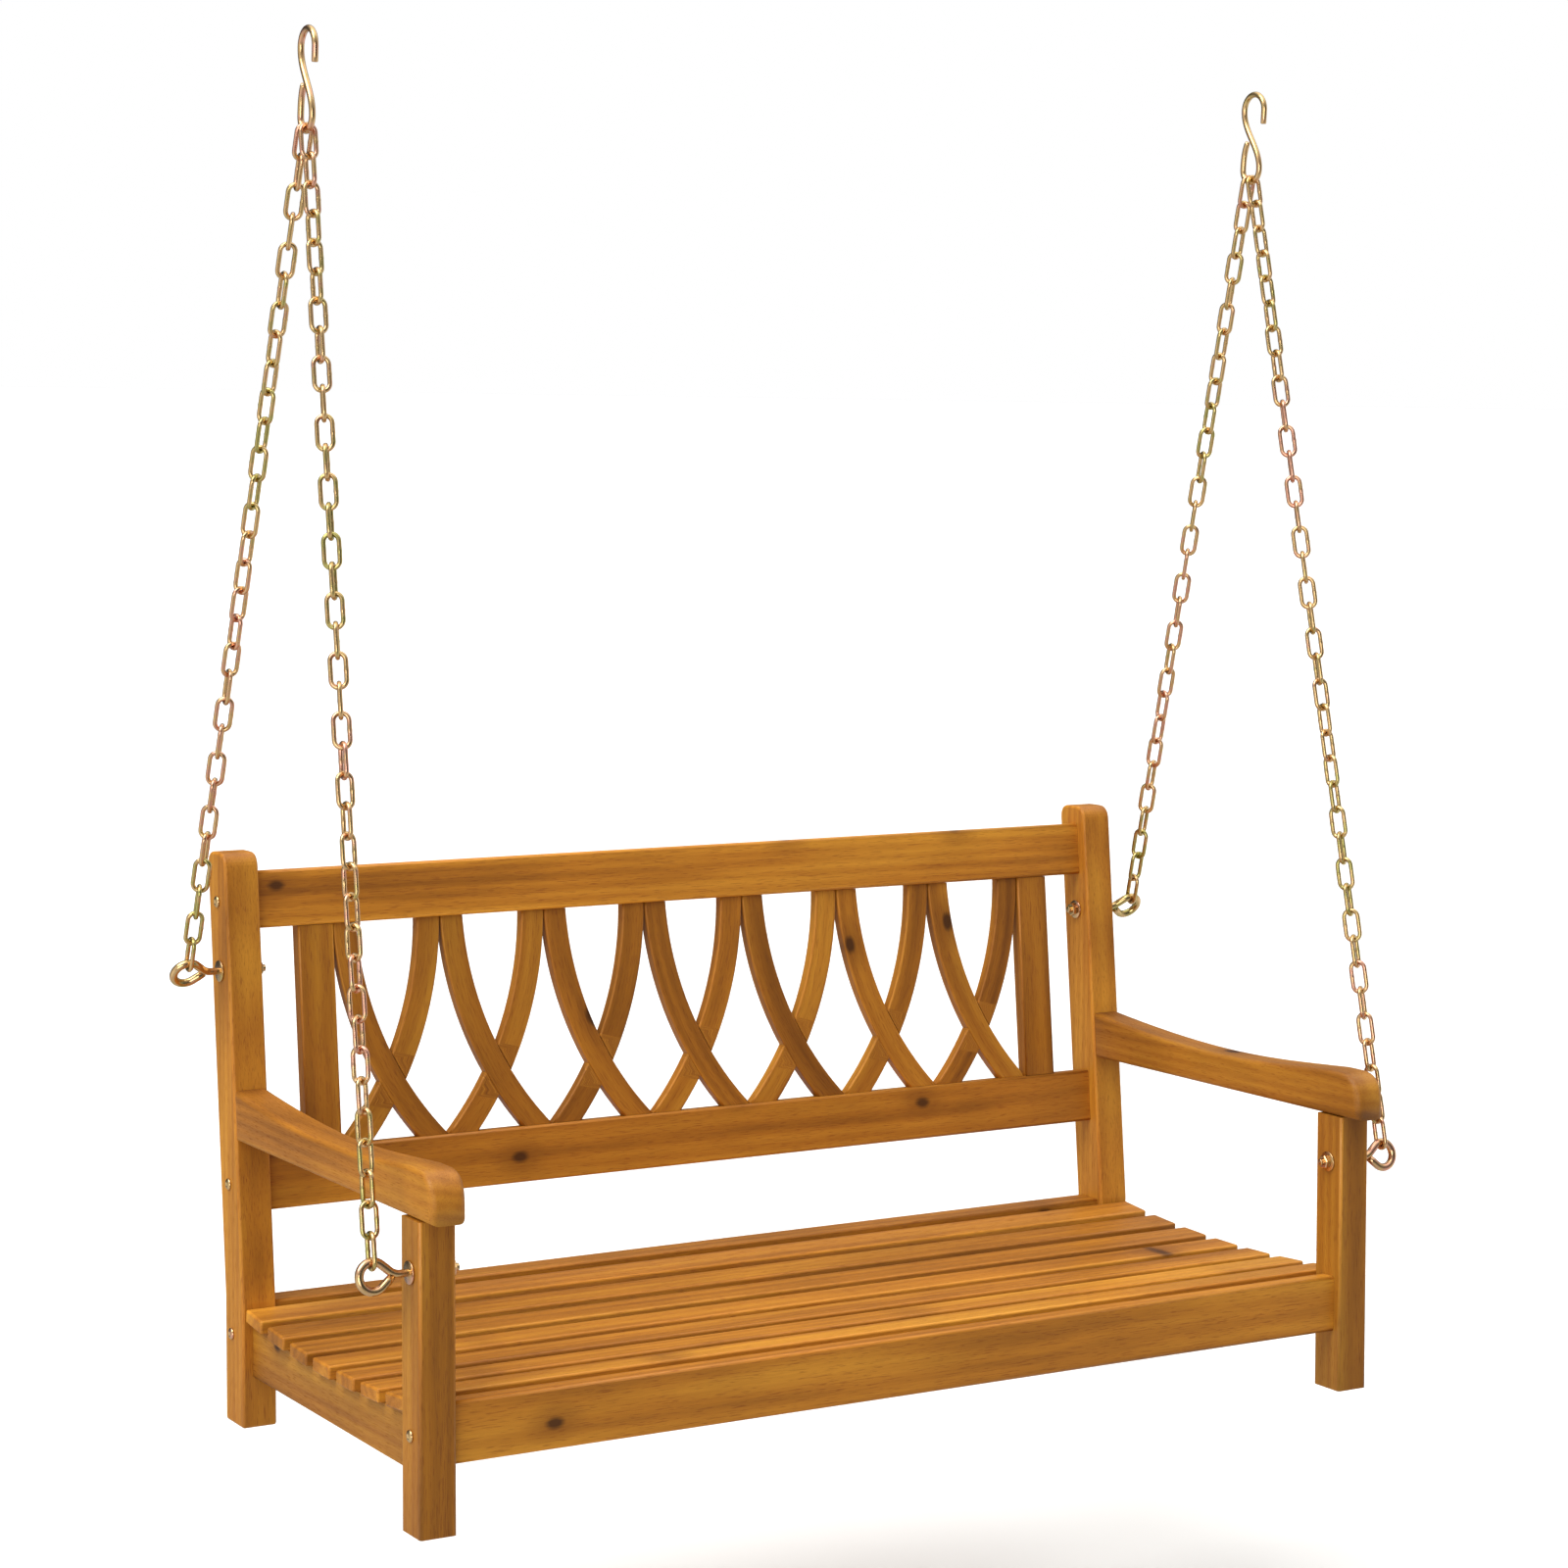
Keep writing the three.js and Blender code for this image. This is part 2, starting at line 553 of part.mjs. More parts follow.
function addChains() {
  const counts = { front: FRONT_LINKS, rear: REAR_LINKS };
  for (const eye of EYES) {
    for (const [side, sign] of SIDES) {
      const [first, ...others] = strandLinks(eye, sign, counts[eye.place]);
      const strand = others.map(toSolid).reduce((sum, link) => sum.add(link));
      addSteel(`top_link_${eye.place}_${side}`, toGeometry(toSolid(first)));
      addSteel(`chain_${eye.place}_${side}`, toGeometry(strand));
    }
  }
}

// ---------------------------------------------------------------- S-hooks

// Part of a circle in the YZ plane, about (y, z), from one angle to another.
class UprightArc extends THREE.Curve {
  constructor(y, z, radius, from, to) {
    super();
    Object.assign(this, { y, z, radius, from, to });
  }

  getPoint(t, target = new THREE.Vector3()) {
    const angle = this.from + (this.to - this.from) * t;
    return target.set(
      0, this.y + this.radius * Math.cos(angle), this.z + this.radius * Math.sin(angle));
  }
}

// From the free tip, over the top, down across to the eye, round under it and back to the shank.
function hookCurve() {
  const eye = HOOK_EYE_RADIUS;
  const bend = HOOK_TOP_RADIUS;
  const rise = HOOK_TOP_RISE;
  const at = (y, z) => new THREE.Vector3(0, y, z);
  const curve = new THREE.CurvePath();
  curve.add(new THREE.LineCurve3(at(-bend, rise - HOOK_TIP), at(-bend, rise)));
  curve.add(new UprightArc(0, rise, bend, Math.PI, 0));
  curve.add(new THREE.CubicBezierCurve3(
    at(bend, rise), at(bend, rise - HOOK_SWEEP), at(-eye, HOOK_SWEEP), at(-eye, 0)));
  curve.add(new UprightArc(0, 0, eye, -Math.PI, 0));
  const curl = HOOK_CURL.map(({ y, z }) => at(y, z));
  curve.add(new THREE.CubicBezierCurve3(at(eye, 0), ...curl));
  return curve;
}

function addHooks(group) {
  const section = new THREE.Shape().absarc(0, 0, HOOK_WIRE_RADIUS, 0, 2 * Math.PI);
  const settings = { steps: 48, curveSegments: 3, extrudePath: hookCurve() };
  for (const [side, sign] of SIDES) {
    const hook = toGeometry(toSolid(new THREE.ExtrudeGeometry(section, settings)));
    addTo(group, `hook_${side}`, hook.translate(sign * HOOK_X, 0, 0), YELLOW_STEEL);
  }
}

// ---------------------------------------------------------------- hanging at rest

// Volume and first moment of a closed faceted geometry, from the tetrahedra under its triangles.
function weigh(geometry) {
  const position = (geometry.index ? geometry.toNonIndexed() : geometry).attributes.position;
  const corners = [new THREE.Vector3(), new THREE.Vector3(), new THREE.Vector3()];
  const moment = new THREE.Vector3();
  let volume = 0;
  for (let i = 0; i < position.count; i += 3) {
    corners.forEach((corner, j) => corner.fromBufferAttribute(position, i + j));
    const [a, b, c] = corners;
    const part = a.dot(new THREE.Vector3().crossVectors(b, c)) / 6;
    volume += part;
    moment.addScaledVector(a.clone().add(b).add(c), part / 4);
  }
  return { volume, moment };
}

// The lean about the hooks' eyes that brings the centre of mass under them.
function restingLean() {
  const sum = new THREE.Vector3();
  let mass = 0;
  for (const [geometry, density] of balance) {
    const { volume, moment } = weigh(geometry);
    mass += volume * density;
    sum.addScaledVector(moment, density);
  }
  const centre = sum.divideScalar(mass);
  return Math.atan2(HOOK_Y - centre.y, HOOK_EYE_HEIGHT - centre.z);
}

addFrontLegs();
addBackPosts();
addArmrests();
addSeatRails();
addSeatBearers();
addSeatSlats();
addBackRails();
addStraightBackSlats();
addCurvedBackSlats();
addEyeBolts();
addChains();

const swing = new THREE.Group();
swing.name = 'porch_swing';
const hooks = new THREE.Group();
addHooks(hooks);
swing.add(hooks, hanging);

// What hangs turns about the hooks' eyes. The upper bends bear at the origin.
hanging.rotation.x = restingLean();
hanging.children.forEach((mesh) => mesh.geometry.translate(0, -HOOK_Y, -HOOK_EYE_HEIGHT));
for (const group of swing.children) {
  group.position.z = -(HOOK_TOP_RISE + HOOK_TOP_RADIUS - HOOK_WIRE_RADIUS);
}

export default swing;
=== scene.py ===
"""The look of a porch swing: boards with rounded arrises and grain, separate chain links, bent
steel hooks and eye bolts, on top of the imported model. Lengths are in millimetres until a mesh is
written, when they become metres."""

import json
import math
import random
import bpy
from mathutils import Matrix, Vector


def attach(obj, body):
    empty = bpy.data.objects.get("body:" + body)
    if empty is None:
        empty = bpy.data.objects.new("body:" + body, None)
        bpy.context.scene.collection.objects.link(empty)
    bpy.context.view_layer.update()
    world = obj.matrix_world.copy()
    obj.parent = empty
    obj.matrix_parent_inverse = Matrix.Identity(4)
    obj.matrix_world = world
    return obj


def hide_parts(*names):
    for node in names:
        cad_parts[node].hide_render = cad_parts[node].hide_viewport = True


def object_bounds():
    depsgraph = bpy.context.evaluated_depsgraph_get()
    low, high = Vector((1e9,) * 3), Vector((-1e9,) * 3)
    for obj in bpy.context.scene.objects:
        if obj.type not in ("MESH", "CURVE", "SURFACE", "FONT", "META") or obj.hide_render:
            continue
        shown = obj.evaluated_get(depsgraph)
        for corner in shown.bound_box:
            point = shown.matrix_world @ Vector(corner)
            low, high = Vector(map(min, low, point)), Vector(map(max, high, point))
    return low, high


bl_info = {
    "name": "Porch swing",
    "version": (1, 0, 0),
    "blender": (4, 5, 0),
    "location": "View3D > Sidebar > Porch swing",
    "description": "Builds a slatted hanging bench with its chains and fittings",
    "category": "Object",
}

import bmesh
import bpy
from bpy.props import FloatProperty, FloatVectorProperty, PointerProperty
from bpy.types import Operator, Panel, PropertyGroup
from mathutils import Matrix, Vector

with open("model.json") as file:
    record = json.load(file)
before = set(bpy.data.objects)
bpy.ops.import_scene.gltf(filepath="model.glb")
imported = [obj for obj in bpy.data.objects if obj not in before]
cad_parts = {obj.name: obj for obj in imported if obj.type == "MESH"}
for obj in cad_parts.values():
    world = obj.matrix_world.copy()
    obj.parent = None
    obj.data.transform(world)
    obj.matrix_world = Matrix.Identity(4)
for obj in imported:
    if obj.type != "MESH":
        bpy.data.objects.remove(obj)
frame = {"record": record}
CAD_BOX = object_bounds()
RECORD = frame["record"]

# ---- sizes of the bench, in mm

MM = 0.001
GAP = 0.3
HALF_WIDTH = 600.0
FRAME_DEPTH = 528.0
LEG_WIDTH = 40.0
LEG_DEPTH = 45.0
LEG_HEIGHT = 320.0
POST_DEPTH = 52.0
POST_HEIGHT = 637.0
POST_CROWN = 17.0
KINK_HEIGHT = 140.0
LEAN_SLOPE = 0.092
ARM_FRONT = -28.0
ARM_TOP_FRONT = 372.3
ARM_TOP_BACK = 375.5
ARM_NOSE = 34.0
ARM_NOSE_FLAT = 24.0
ARM_HOLLOW_BACK = (260.0, 352.0)
ARM_HOLLOW_FRONT = (170.0, 362.0)
ARM_CORNER = 9.0
ARM_ARRIS = 6.0
RAIL_HEIGHT = 64.0
RAIL_THICKNESS = 22.0
TOP_RAIL_BOTTOM = 550.0
LOWER_RAIL_BOTTOM = 236.5
APRON_SETBACK = 10.0
APRON_BOTTOM = 69.0
SIDE_RAIL_SETBACK = 12.0
SIDE_RAIL_BOTTOM = 57.0
SLAT_COUNT = 7
SLAT_WIDTH = 45.0
SLAT_THICKNESS = 15.0
SLAT_END_SETBACK = 3.0
SEAT_LOW_HEIGHT = 123.0
SEAT_LOW_Y = 255.0
SEAT_DISH = 2000.0
FRONT_SLAT_SETBACK = 3.0
BACK_SLAT_SETBACK = 1.5
DISH_SLACK = 0.15
HIDDEN_ARRIS = 2.0
REAR_RAIL_SETBACK = 8.0
REAR_SLAT_WIDTH = 36.0
REAR_SLAT_TOP = 139.0
CURVED_PAIRS = 7
CURVED_WIDTH = 28.5
CURVED_THICKNESS = 14.0
CURVED_RADIUS = 401.0
CURVED_RISE = 14.0
CURVED_SPAN = 466.0
LAP_CLEARANCE = 0.2
LAP_OVERRUN = 2.0
STRAIGHT_WIDTH = 43.0
STRAIGHT_THICKNESS = 18.0
FRONT_EYE_HEIGHT = 266.0
REAR_EYE_HEIGHT = 505.0
EYE_REACH = 40.0
EYE_RING = 14.7
EYE_APEX = 22.5
EYE_WIRE = 4.6
EYE_CLOSING = 0.85
EYE_NECK = 6.0
EYE_RISE_SHARE = 0.55
EYE_END_TAPER = 0.9
SHANK = 4.0
SHANK_STUB = 13.0
PLAIN_SHANK_START = 12.0
THREAD_PITCH = 1.25
THREAD_TURNS = 11
THREAD_DEPTH = 0.65
THREAD_CHAMFER = 0.6
THREAD_RUNOUT = 0.2
WASHER_THICKNESS = 2.0
WASHER_RADIUS = 12.0
INNER_WASHER_RADIUS = 11.5
NUT_RADIUS = 8.2
NUT_THICKNESS = 6.5
REAR_EYE_TURN = math.radians(36)
HOOK_X = 609.0
HOOK_Y = 250.0
HOOK_EYE_HEIGHT = 1427.0
HOOK_WIRE = 3.5
HOOK_EYE = 15.5
HOOK_BEND = 19.0
HOOK_RISE = 70.0
CUT_END = 0.8
HOOK_TIP = 16.0
HOOK_SWEEP = 26.0
HOOK_CURL_LOW = 14.0
HOOK_CURL_HIGH = 22.0
HOOK_CURL_TURN = 1.0
HOOK_CURL_END = (9.4, 32.5)
LINK_BEND = 8.0
LINK_WELD = ((-0.40, 1.0), (-0.16, 1.03), (0.0, 1.10), (0.16, 1.03), (0.40, 1.0))
TOP_LINK_SPREAD = math.radians(3)
LINKS = {"front": 38, "rear": 30}
BOLT_RADIUS = 6.5
BOLT_RISE = 3.4
BOLT_DOME = 2.4
BOLT_CROWN = 1.8
BOLT_SOCKET = 2.6
BOLT_SOCKET_DEPTH = 1.8
FOOT_BOLT_SETBACK = 6.0

LEAN = math.atan(LEAN_SLOPE)
LEG_INNER = HALF_WIDTH - LEG_WIDTH
LEG_MIDDLE = HALF_WIDTH - LEG_WIDTH / 2
POST_FRONT = FRAME_DEPTH - POST_DEPTH
POST_MIDDLE = POST_FRONT + POST_DEPTH / 2
CROSS_HALF = LEG_INNER - GAP
REAR_RAIL_FRONT = POST_FRONT + REAR_RAIL_SETBACK
SIDES = (("left", -1), ("right", 1))


def post_front_at(z):
    return POST_FRONT + LEAN_SLOPE * max(0.0, z - KINK_HEIGHT)


def post_middle_at(z):
    return post_front_at(z) + POST_DEPTH / 2


def seat_top_at(y):
    return SEAT_LOW_HEIGHT + (y - SEAT_LOW_Y) ** 2 / (2 * SEAT_DISH)


def along_back(z):
    """Distance up the leaning back from the posts' kink, for a height above the feet."""
    return (z - KINK_HEIGHT) / math.cos(LEAN)


SLATS_BOTTOM = along_back(LOWER_RAIL_BOTTOM) + RAIL_HEIGHT / math.cos(LEAN)
SLATS_TOP = along_back(TOP_RAIL_BOTTOM)


def mount(name):
    return next(m for m in RECORD["mounts"] if m["name"] == name)


def bench_to_frame():
    """The standing bench's axes in the row frame, from the feet: the bench hangs at a slight lean."""
    front = Vector(mount("front_left_foot")["pos_m"])
    rear = Vector(mount("rear_left_foot")["pos_m"])
    up = -Vector(mount("front_left_foot")["axis"]).normalized()
    back = (rear - front).normalized()
    across = back.cross(up)
    origin = Vector((0, front.y, front.z)) - back * (LEG_DEPTH / 2 * MM)
    turn = Matrix((across, back, up)).transposed().to_4x4()
    return Matrix.Translation(origin) @ turn @ Matrix.Scale(MM, 4)


BENCH = bench_to_frame()


# ---- settings a user would change

def linear(hex_colour):
    """An sRGB hex colour as linear red, green, blue and alpha."""
    def channel(value):
        value /= 255
        return value / 12.92 if value <= 0.04045 else ((value + 0.055) / 1.055) ** 2.4
    parts = (int(hex_colour[i:i + 2], 16) for i in (1, 3, 5))
    return (*(channel(part) for part in parts), 1.0)


def colour_property(name, description, hex_colour):
    return FloatVectorProperty(
        name=name, description=description, default=linear(hex_colour), size=4,
        subtype="COLOR", min=0.0, max=1.0)


def length_property(name, description, millimetres):
    return FloatProperty(
        name=name, description=description, default=millimetres * MM, min=0.0,
        unit="LENGTH", subtype="DISTANCE")


class SwingWoodSettings(PropertyGroup):
    light: colour_property("Light grain", "Early wood under the stain", "#c78320")
    middle: colour_property("Middle grain", "Most of the surface", "#a96412")
    dark: colour_property("Dark grain", "Late wood and streaks", "#7b430b")
    knot: colour_property("Knots", "Small tight knots", "#3a1d0a")
    arris: length_property("Arris", "Radius on the long edges of the frame's boards", 3.0)
    slat_arris: length_property("Slat arris", "Radius on the seat slats' edges", 2.5)
    fine_arris: length_property("Back slat arris", "Radius on the back slats' edges", 2.0)


class SwingSteelSettings(PropertyGroup):
    gold: colour_property("Gold", "Main colour of the yellow passivation", "#d6b27e")
    rose: colour_property("Rose", "Where the film is thinner", "#d8a288")
    green: colour_property("Green", "Where the film is thicker", "#b4a966")
    link_wire: length_property("Link wire", "Radius of the links' wire", 2.5)
    twist: FloatProperty(
        name="Twist", description="How far a strand turns about itself from end to end",
        default=math.radians(38), unit="ROTATION", subtype="ANGLE")


class SwingStageSettings(PropertyGroup):
    floor: colour_property("Floor", "Pale floor under the swing", "#f6f5f2")
    drop: length_property("Floor drop", "From the lowest foot to the floor", 330.0)
    lens: FloatProperty(name="Lens", description="Focal length", default=80.94, unit="CAMERA")


# ---- materials

def add_node(tree, kind, settings=None, inputs=None):
    """Adds a shader node. Each input is a value, or another node's output socket to link from."""
    node = tree.nodes.new(kind)
    for name, value in (settings or {}).items():
        setattr(node, name, value)
    for name, value in (inputs or {}).items():
        if isinstance(value, bpy.types.NodeSocket):
            tree.links.new(value, node.inputs[name])
        else:
            node.inputs[name].default_value = value
    return node


def stretched(tree, vector, along, across):
    """A board's own coordinates squeezed along and across the grain, in repeats a metre."""
    return add_node(tree, "ShaderNodeVectorMath", {"operation": "MULTIPLY"},
                    {0: vector, 1: (along, across, across)}).outputs[0]


def noise(tree, vector, detail, roughness=0.5, scale=1.0):
    return add_node(tree, "ShaderNodeTexNoise", None,
                    {"Vector": vector, "Scale": scale, "Detail": detail,
                     "Roughness": roughness}).outputs["Fac"]


def spread(tree, value, low, high, to_low, to_high):
    return add_node(tree, "ShaderNodeMapRange", None,
                    {"Value": value, "From Min": low, "From Max": high, "To Min": to_low,
                     "To Max": to_high}).outputs["Result"]


def combine(tree, operation, first, second, third=0.0):
    return add_node(tree, "ShaderNodeMath", {"operation": operation},
                    {0: first, 1: second, 2: third}).outputs[0]


def scaled(tree, value, factor, plus):
    return combine(tree, "MULTIPLY_ADD", value, factor, plus)


# What the open pores multiply the stain's colour by.
PORE_SHADE = (0.74, 0.64, 0.52, 1.0)


def attribute(tree, name, output="Fac"):
    return add_node(tree, "ShaderNodeAttribute", {"attribute_name": name}).outputs[output]


def mix(tree, share, first, second, blend="MIX"):
    return add_node(tree, "ShaderNodeMix", {"data_type": "RGBA", "blend_type": blend},
                    {0: share, 6: first, 7: second}).outputs[2]


def ramp(tree, place, stops):
    """A colour that goes from stop to stop, each a position and a colour."""
    node = add_node(tree, "ShaderNodeValToRGB", None, {"Fac": place})
    elements = node.color_ramp.elements
    while len(elements) < len(stops):
        elements.new(0.5)
    for element, (position, colour) in zip(elements, stops):
        element.position = position
        element.color = colour
    return node.outputs["Color"]


def finish_surface(tree, strength, distance, height, inputs):
    """Ends a material: a bump from a height, the principled shader and the output."""
    bump = add_node(tree, "ShaderNodeBump", None,
                    {"Strength": strength, "Distance": distance, "Height": height})
    shader = add_node(tree, "ShaderNodeBsdfPrincipled", None,
                      {**inputs, "Normal": bump.outputs["Normal"]})
    add_node(tree, "ShaderNodeOutputMaterial", None, {"Surface": shader.outputs["BSDF"]})


def stained_acacia(tree):
    """Acacia under a honey-coloured oil stain, sanded smooth: broad bands of heartwood and
    sapwood, growth rings about 8 mm apart that wander along the board, fine fibre and short open
    pores, a few tight knots with a brown halo, rounded edges made paler by thinner stain and by a
    painted highlight, boards made paler or darker partly by their stain and partly by painted
    light and shade, and a satin sheen that the pores break up."""
    wood = bpy.context.scene.swing_wood
    grain = attribute(tree, "grain", "Vector")
    tone = attribute(tree, "tone")
    arris = attribute(tree, "arris")

    bands = noise(tree, stretched(tree, grain, 1.5, 21.0), 3.0, 0.5)
    clouds = noise(tree, stretched(tree, grain, 7.0, 16.0), 2.0)
    fibre = noise(tree, stretched(tree, grain, 16.0, 480.0), 3.0, 0.6)
    pores = noise(tree, stretched(tree, grain, 60.0, 1100.0), 1.0)
    rings = add_node(tree, "ShaderNodeTexWave",
                     {"wave_type": "RINGS", "rings_direction": "X", "wave_profile": "SIN"},
                     {"Vector": stretched(tree, grain, 0.1, 1.0), "Scale": 26.0,
                      "Distortion": 4.5, "Detail": 3.0, "Detail Scale": 0.45,
                      "Detail Roughness": 0.6}).outputs["Fac"]

    ringed = scaled(tree, rings, 0.09, bands)
    figure = scaled(tree, fibre, 0.22, ringed)
    toned = scaled(tree, tone, 0.04, figure)
    colour = ramp(tree, toned, [(0.38, tuple(wood.dark)), (0.65, tuple(wood.middle)),
                                (0.92, tuple(wood.light))])

    pore_mask = spread(tree, pores, 0.58, 0.68, 0.0, 1.0)
    pored = mix(tree, pore_mask, colour, PORE_SHADE, "MULTIPLY")

    knots = add_node(tree, "ShaderNodeTexVoronoi",
                     {"feature": "F1", "voronoi_dimensions": "2D"},
                     {"Vector": stretched(tree, grain, 5.0, 8.0), "Scale": 1.0})
    kept = combine(tree, "GREATER_THAN", knots.outputs["Color"], 0.45)
    ragged = scaled(tree, clouds, 0.10, scaled(tree, fibre, 0.03, knots.outputs["Distance"]))
    halo = combine(tree, "MULTIPLY", kept, spread(tree, ragged, 0.11, 0.27, 0.60, 0.0))
    core = combine(tree, "MULTIPLY", kept, spread(tree, ragged, 0.100, 0.135, 0.85, 0.0))
    haloed = mix(tree, halo, pored, tuple(wood.dark))
    knotted = mix(tree, core, haloed, tuple(wood.knot))

    cloud_value = spread(tree, clouds, 0.3, 0.7, 0.90, 1.10)
    # A board's tone makes it paler or darker: partly its stain, partly painted light and shade.
    board_value = scaled(tree, tone, 0.22, cloud_value)
    # The rounded edges are made paler: partly thinner stain, partly a painted highlight.
    thin_stain_and_highlight_value = scaled(tree, arris, 0.14, board_value)
    final = add_node(tree, "ShaderNodeHueSaturation", None,
                     {"Hue": 0.506, "Saturation": 0.98, "Value": thin_stain_and_highlight_value,
                      "Color": knotted})

    rough = scaled(tree, pore_mask, 0.2, spread(tree, fibre, 0.3, 0.7, 0.48, 0.38))
    height = scaled(tree, pore_mask, -0.8, fibre)
    finish_surface(tree, 0.25, 0.0003, height,
                   {"Base Color": final.outputs["Color"], "Roughness": rough, "IOR": 1.5,
                    "Specular IOR Level": 0.28})


def passivated_steel(tree):
    """Steel wire under yellow-chromated zinc: a thin film whose thickness varies, so that the
    metal runs from gold through rose to a greenish yellow from link to link and along a bend."""
    steel = bpy.context.scene.swing_steel
    place = add_node(tree, "ShaderNodeTexCoord").outputs["Object"]
    film = noise(tree, place, 2.0, scale=75.0)
    thickness = scaled(tree, attribute(tree, "tone"), 0.34, film)
    colour = ramp(tree, thickness, [(0.26, tuple(steel.rose)), (0.46, tuple(steel.gold)),
                                    (0.56, tuple(steel.gold)), (0.78, tuple(steel.green))])
    scuffs = noise(tree, place, 3.0, 0.7, 900.0)
    rough = spread(tree, scuffs, 0.3, 0.7, 0.15, 0.30)
    finish_surface(tree, 0.15, 0.0002, scuffs,
                   {"Base Color": colour, "Metallic": 1.0, "Roughness": rough})


def pale_floor(tree):
    """A pale matt painted floor with a faint roller texture."""
    place = add_node(tree, "ShaderNodeTexCoord").outputs["Object"]
    roller = noise(tree, place, 2.0, scale=120.0)
    finish_surface(tree, 0.05, 0.0003, roller,
                   {"Base Color": tuple(bpy.context.scene.swing_stage.floor), "Roughness": 0.9})


ACACIA = "teak-stained acacia"
ZINC = "yellow-passivated zinc-plated steel"
PAINT = "pale painted floor"
MATERIAL_MAKERS = {ACACIA: stained_acacia, ZINC: passivated_steel, PAINT: pale_floor}


def material_named(name):
    """A material by its name, made the first time that it is asked for."""
    material = bpy.data.materials.get(name)
    if material is None:
        material = bpy.data.materials.new(name)
        material.use_nodes = True
        material.node_tree.nodes.clear()
        MATERIAL_MAKERS[name](material.node_tree)
    return material


# ---- mesh tools

def add_piece(name, bm, material, body, nodes):
    """Turns a mesh drawn in the bench's millimetres into a piece that rides on a CAD body."""
    bmesh.ops.recalc_face_normals(bm, faces=bm.faces)
    bm.transform(BENCH)
    mesh = bpy.data.meshes.new(name)
    bm.to_mesh(mesh)
    bm.free()
    mesh.materials.append(material_named(material))
    piece = bpy.data.objects.new(name, mesh)
    bpy.context.scene.collection.objects.link(piece)
    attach(piece, body)
    if nodes:
        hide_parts(*nodes)
    return piece


def add_board(name, bm):
    return add_piece(f"{name}_board", bm, ACACIA, "bench", [name])


def add_steel(name, bm, body="bench", nodes=()):
    return add_piece(name, bm, ZINC, body, nodes)


def layer(layers, name):
    """A mesh's own values under a name, made the first time that they are asked for."""
    return layers.get(name) or layers.new(name)


def skin(bm, rings, closed=False, capped=True):
    """Joins each ring of points to the next, closes the ends and returns the faces between."""
    pairs = list(zip(rings, rings[1:]))
    if closed:
        pairs.append((rings[-1], rings[0]))
    faces = []
    for near, far in pairs:
        for j in range(len(near)):
            k = (j + 1) % len(near)
            faces.append(bm.faces.new((near[j], near[k], far[k], far[j])))
    if capped and not closed:
        bm.faces.new(reversed(rings[0]))
        bm.faces.new(rings[-1])
    return faces


def prism(outline, start, end, axis="Y"):
    """An outline pushed along an axis. It is given in the other two axes, in their usual order."""
    def place(u, v, w):
        return {"X": (w, u, v), "Y": (u, w, v), "Z": (u, v, w)}[axis]

    bm = bmesh.new()
    near = [bm.verts.new(place(u, v, start)) for u, v in outline]
    far = [bm.verts.new(place(u, v, end)) for u, v in outline]
    skin(bm, (far, near))
    bmesh.ops.recalc_face_normals(bm, faces=bm.faces)
    return bm


def round_arrises(bm, radius, sharper_than=math.radians(30), segments=3, along=None):
    """Rounds every edge sharper than an angle, or only those that run roughly along an axis where
    the board's ends are inside a joint. Only the roundings are smooth, and they carry a mark for
    the wood to be paler there: partly thinner stain, partly a painted highlight."""
    mark = layer(bm.faces.layers.float, "arris")

    def shows(edge):
        run = (edge.verts[1].co - edge.verts[0].co).normalized()
        return along is None or abs(run["XYZ".index(along)]) > 0.5

    edges = [e for e in bm.edges
             if len(e.link_faces) == 2 and e.calc_face_angle() > sharper_than and shows(e)]
    made = bmesh.ops.bevel(
        bm, geom=edges, offset=radius, segments=segments, profile=0.5, affect="EDGES",
        clamp_overlap=True)
    for face in made["faces"]:
        face.smooth = True
        # The mark makes the rounding paler: partly thinner stain, partly a painted highlight.
        face[mark] = 1.0
    return bm


# Boards made clearly paler (above 0) or darker than the rest: partly their own stain, partly painted
# light and shade, with the back's top rail the palest.
BOARD_STAIN_AND_LIGHT = {
    "back_top_rail": 1.3, "back_bottom_rail": 0.55, "front_leg_left": -0.4,
    "front_leg_right": -0.8, "side_rail_left": -0.6, "side_rail_right": -0.5,
    "front_apron": 0.95, "back_post_left": 0.6, "back_post_right": 0.65,
    "armrest_left": 0.3, "armrest_right": -0.6,
}
# The seat slats' shared tone, paler than the rest: partly stain, partly painted light on their tops.
SEAT_STAIN_AND_LIGHT = 0.30


def board_stain_and_light(name, chance):
    middle = SEAT_STAIN_AND_LIGHT if name.startswith("seat_slat") else 0.0
    return BOARD_STAIN_AND_LIGHT.get(name, middle + chance.uniform(-0.45, 0.45))


def lay_grain(bm, seed, order, measure=None):
    """Stores where each point lies in its own board, in metres, with a shift per board so that
    no two boards show the same figure. `order` names the axes that run along, across and through
    the grain. For a bent board, `measure` turns a point into the three distances instead."""
    chance = random.Random(seed)
    shift = Vector((chance.uniform(0, 40), chance.choice((-1, 1)) * chance.uniform(0.01, 0.08),
                    chance.choice((-1, 1)) * chance.uniform(0.02, 0.12)))
    # The board's tone: partly its stain, partly painted light and shade.
    stain = board_stain_and_light(seed, chance)
    grain = layer(bm.verts.layers.float_vector, "grain")
    tone = layer(bm.verts.layers.float, "tone")
    for vert in bm.verts:
        place = measure(vert.co) if measure else [getattr(vert.co, axis) for axis in order]
        vert[grain] = Vector(place) * MM + shift
        vert[tone] = stain
    return bm


def rectangle(width, height):
    u, v = width / 2, height / 2
    return [(-u, -v), (u, -v), (u, v), (-u, v)]


def turned(bm, matrix):
    bm.transform(matrix)
    return bm


def moved(bm, x=0, y=0, z=0):
    return turned(bm, Matrix.Translation((x, y, z)))


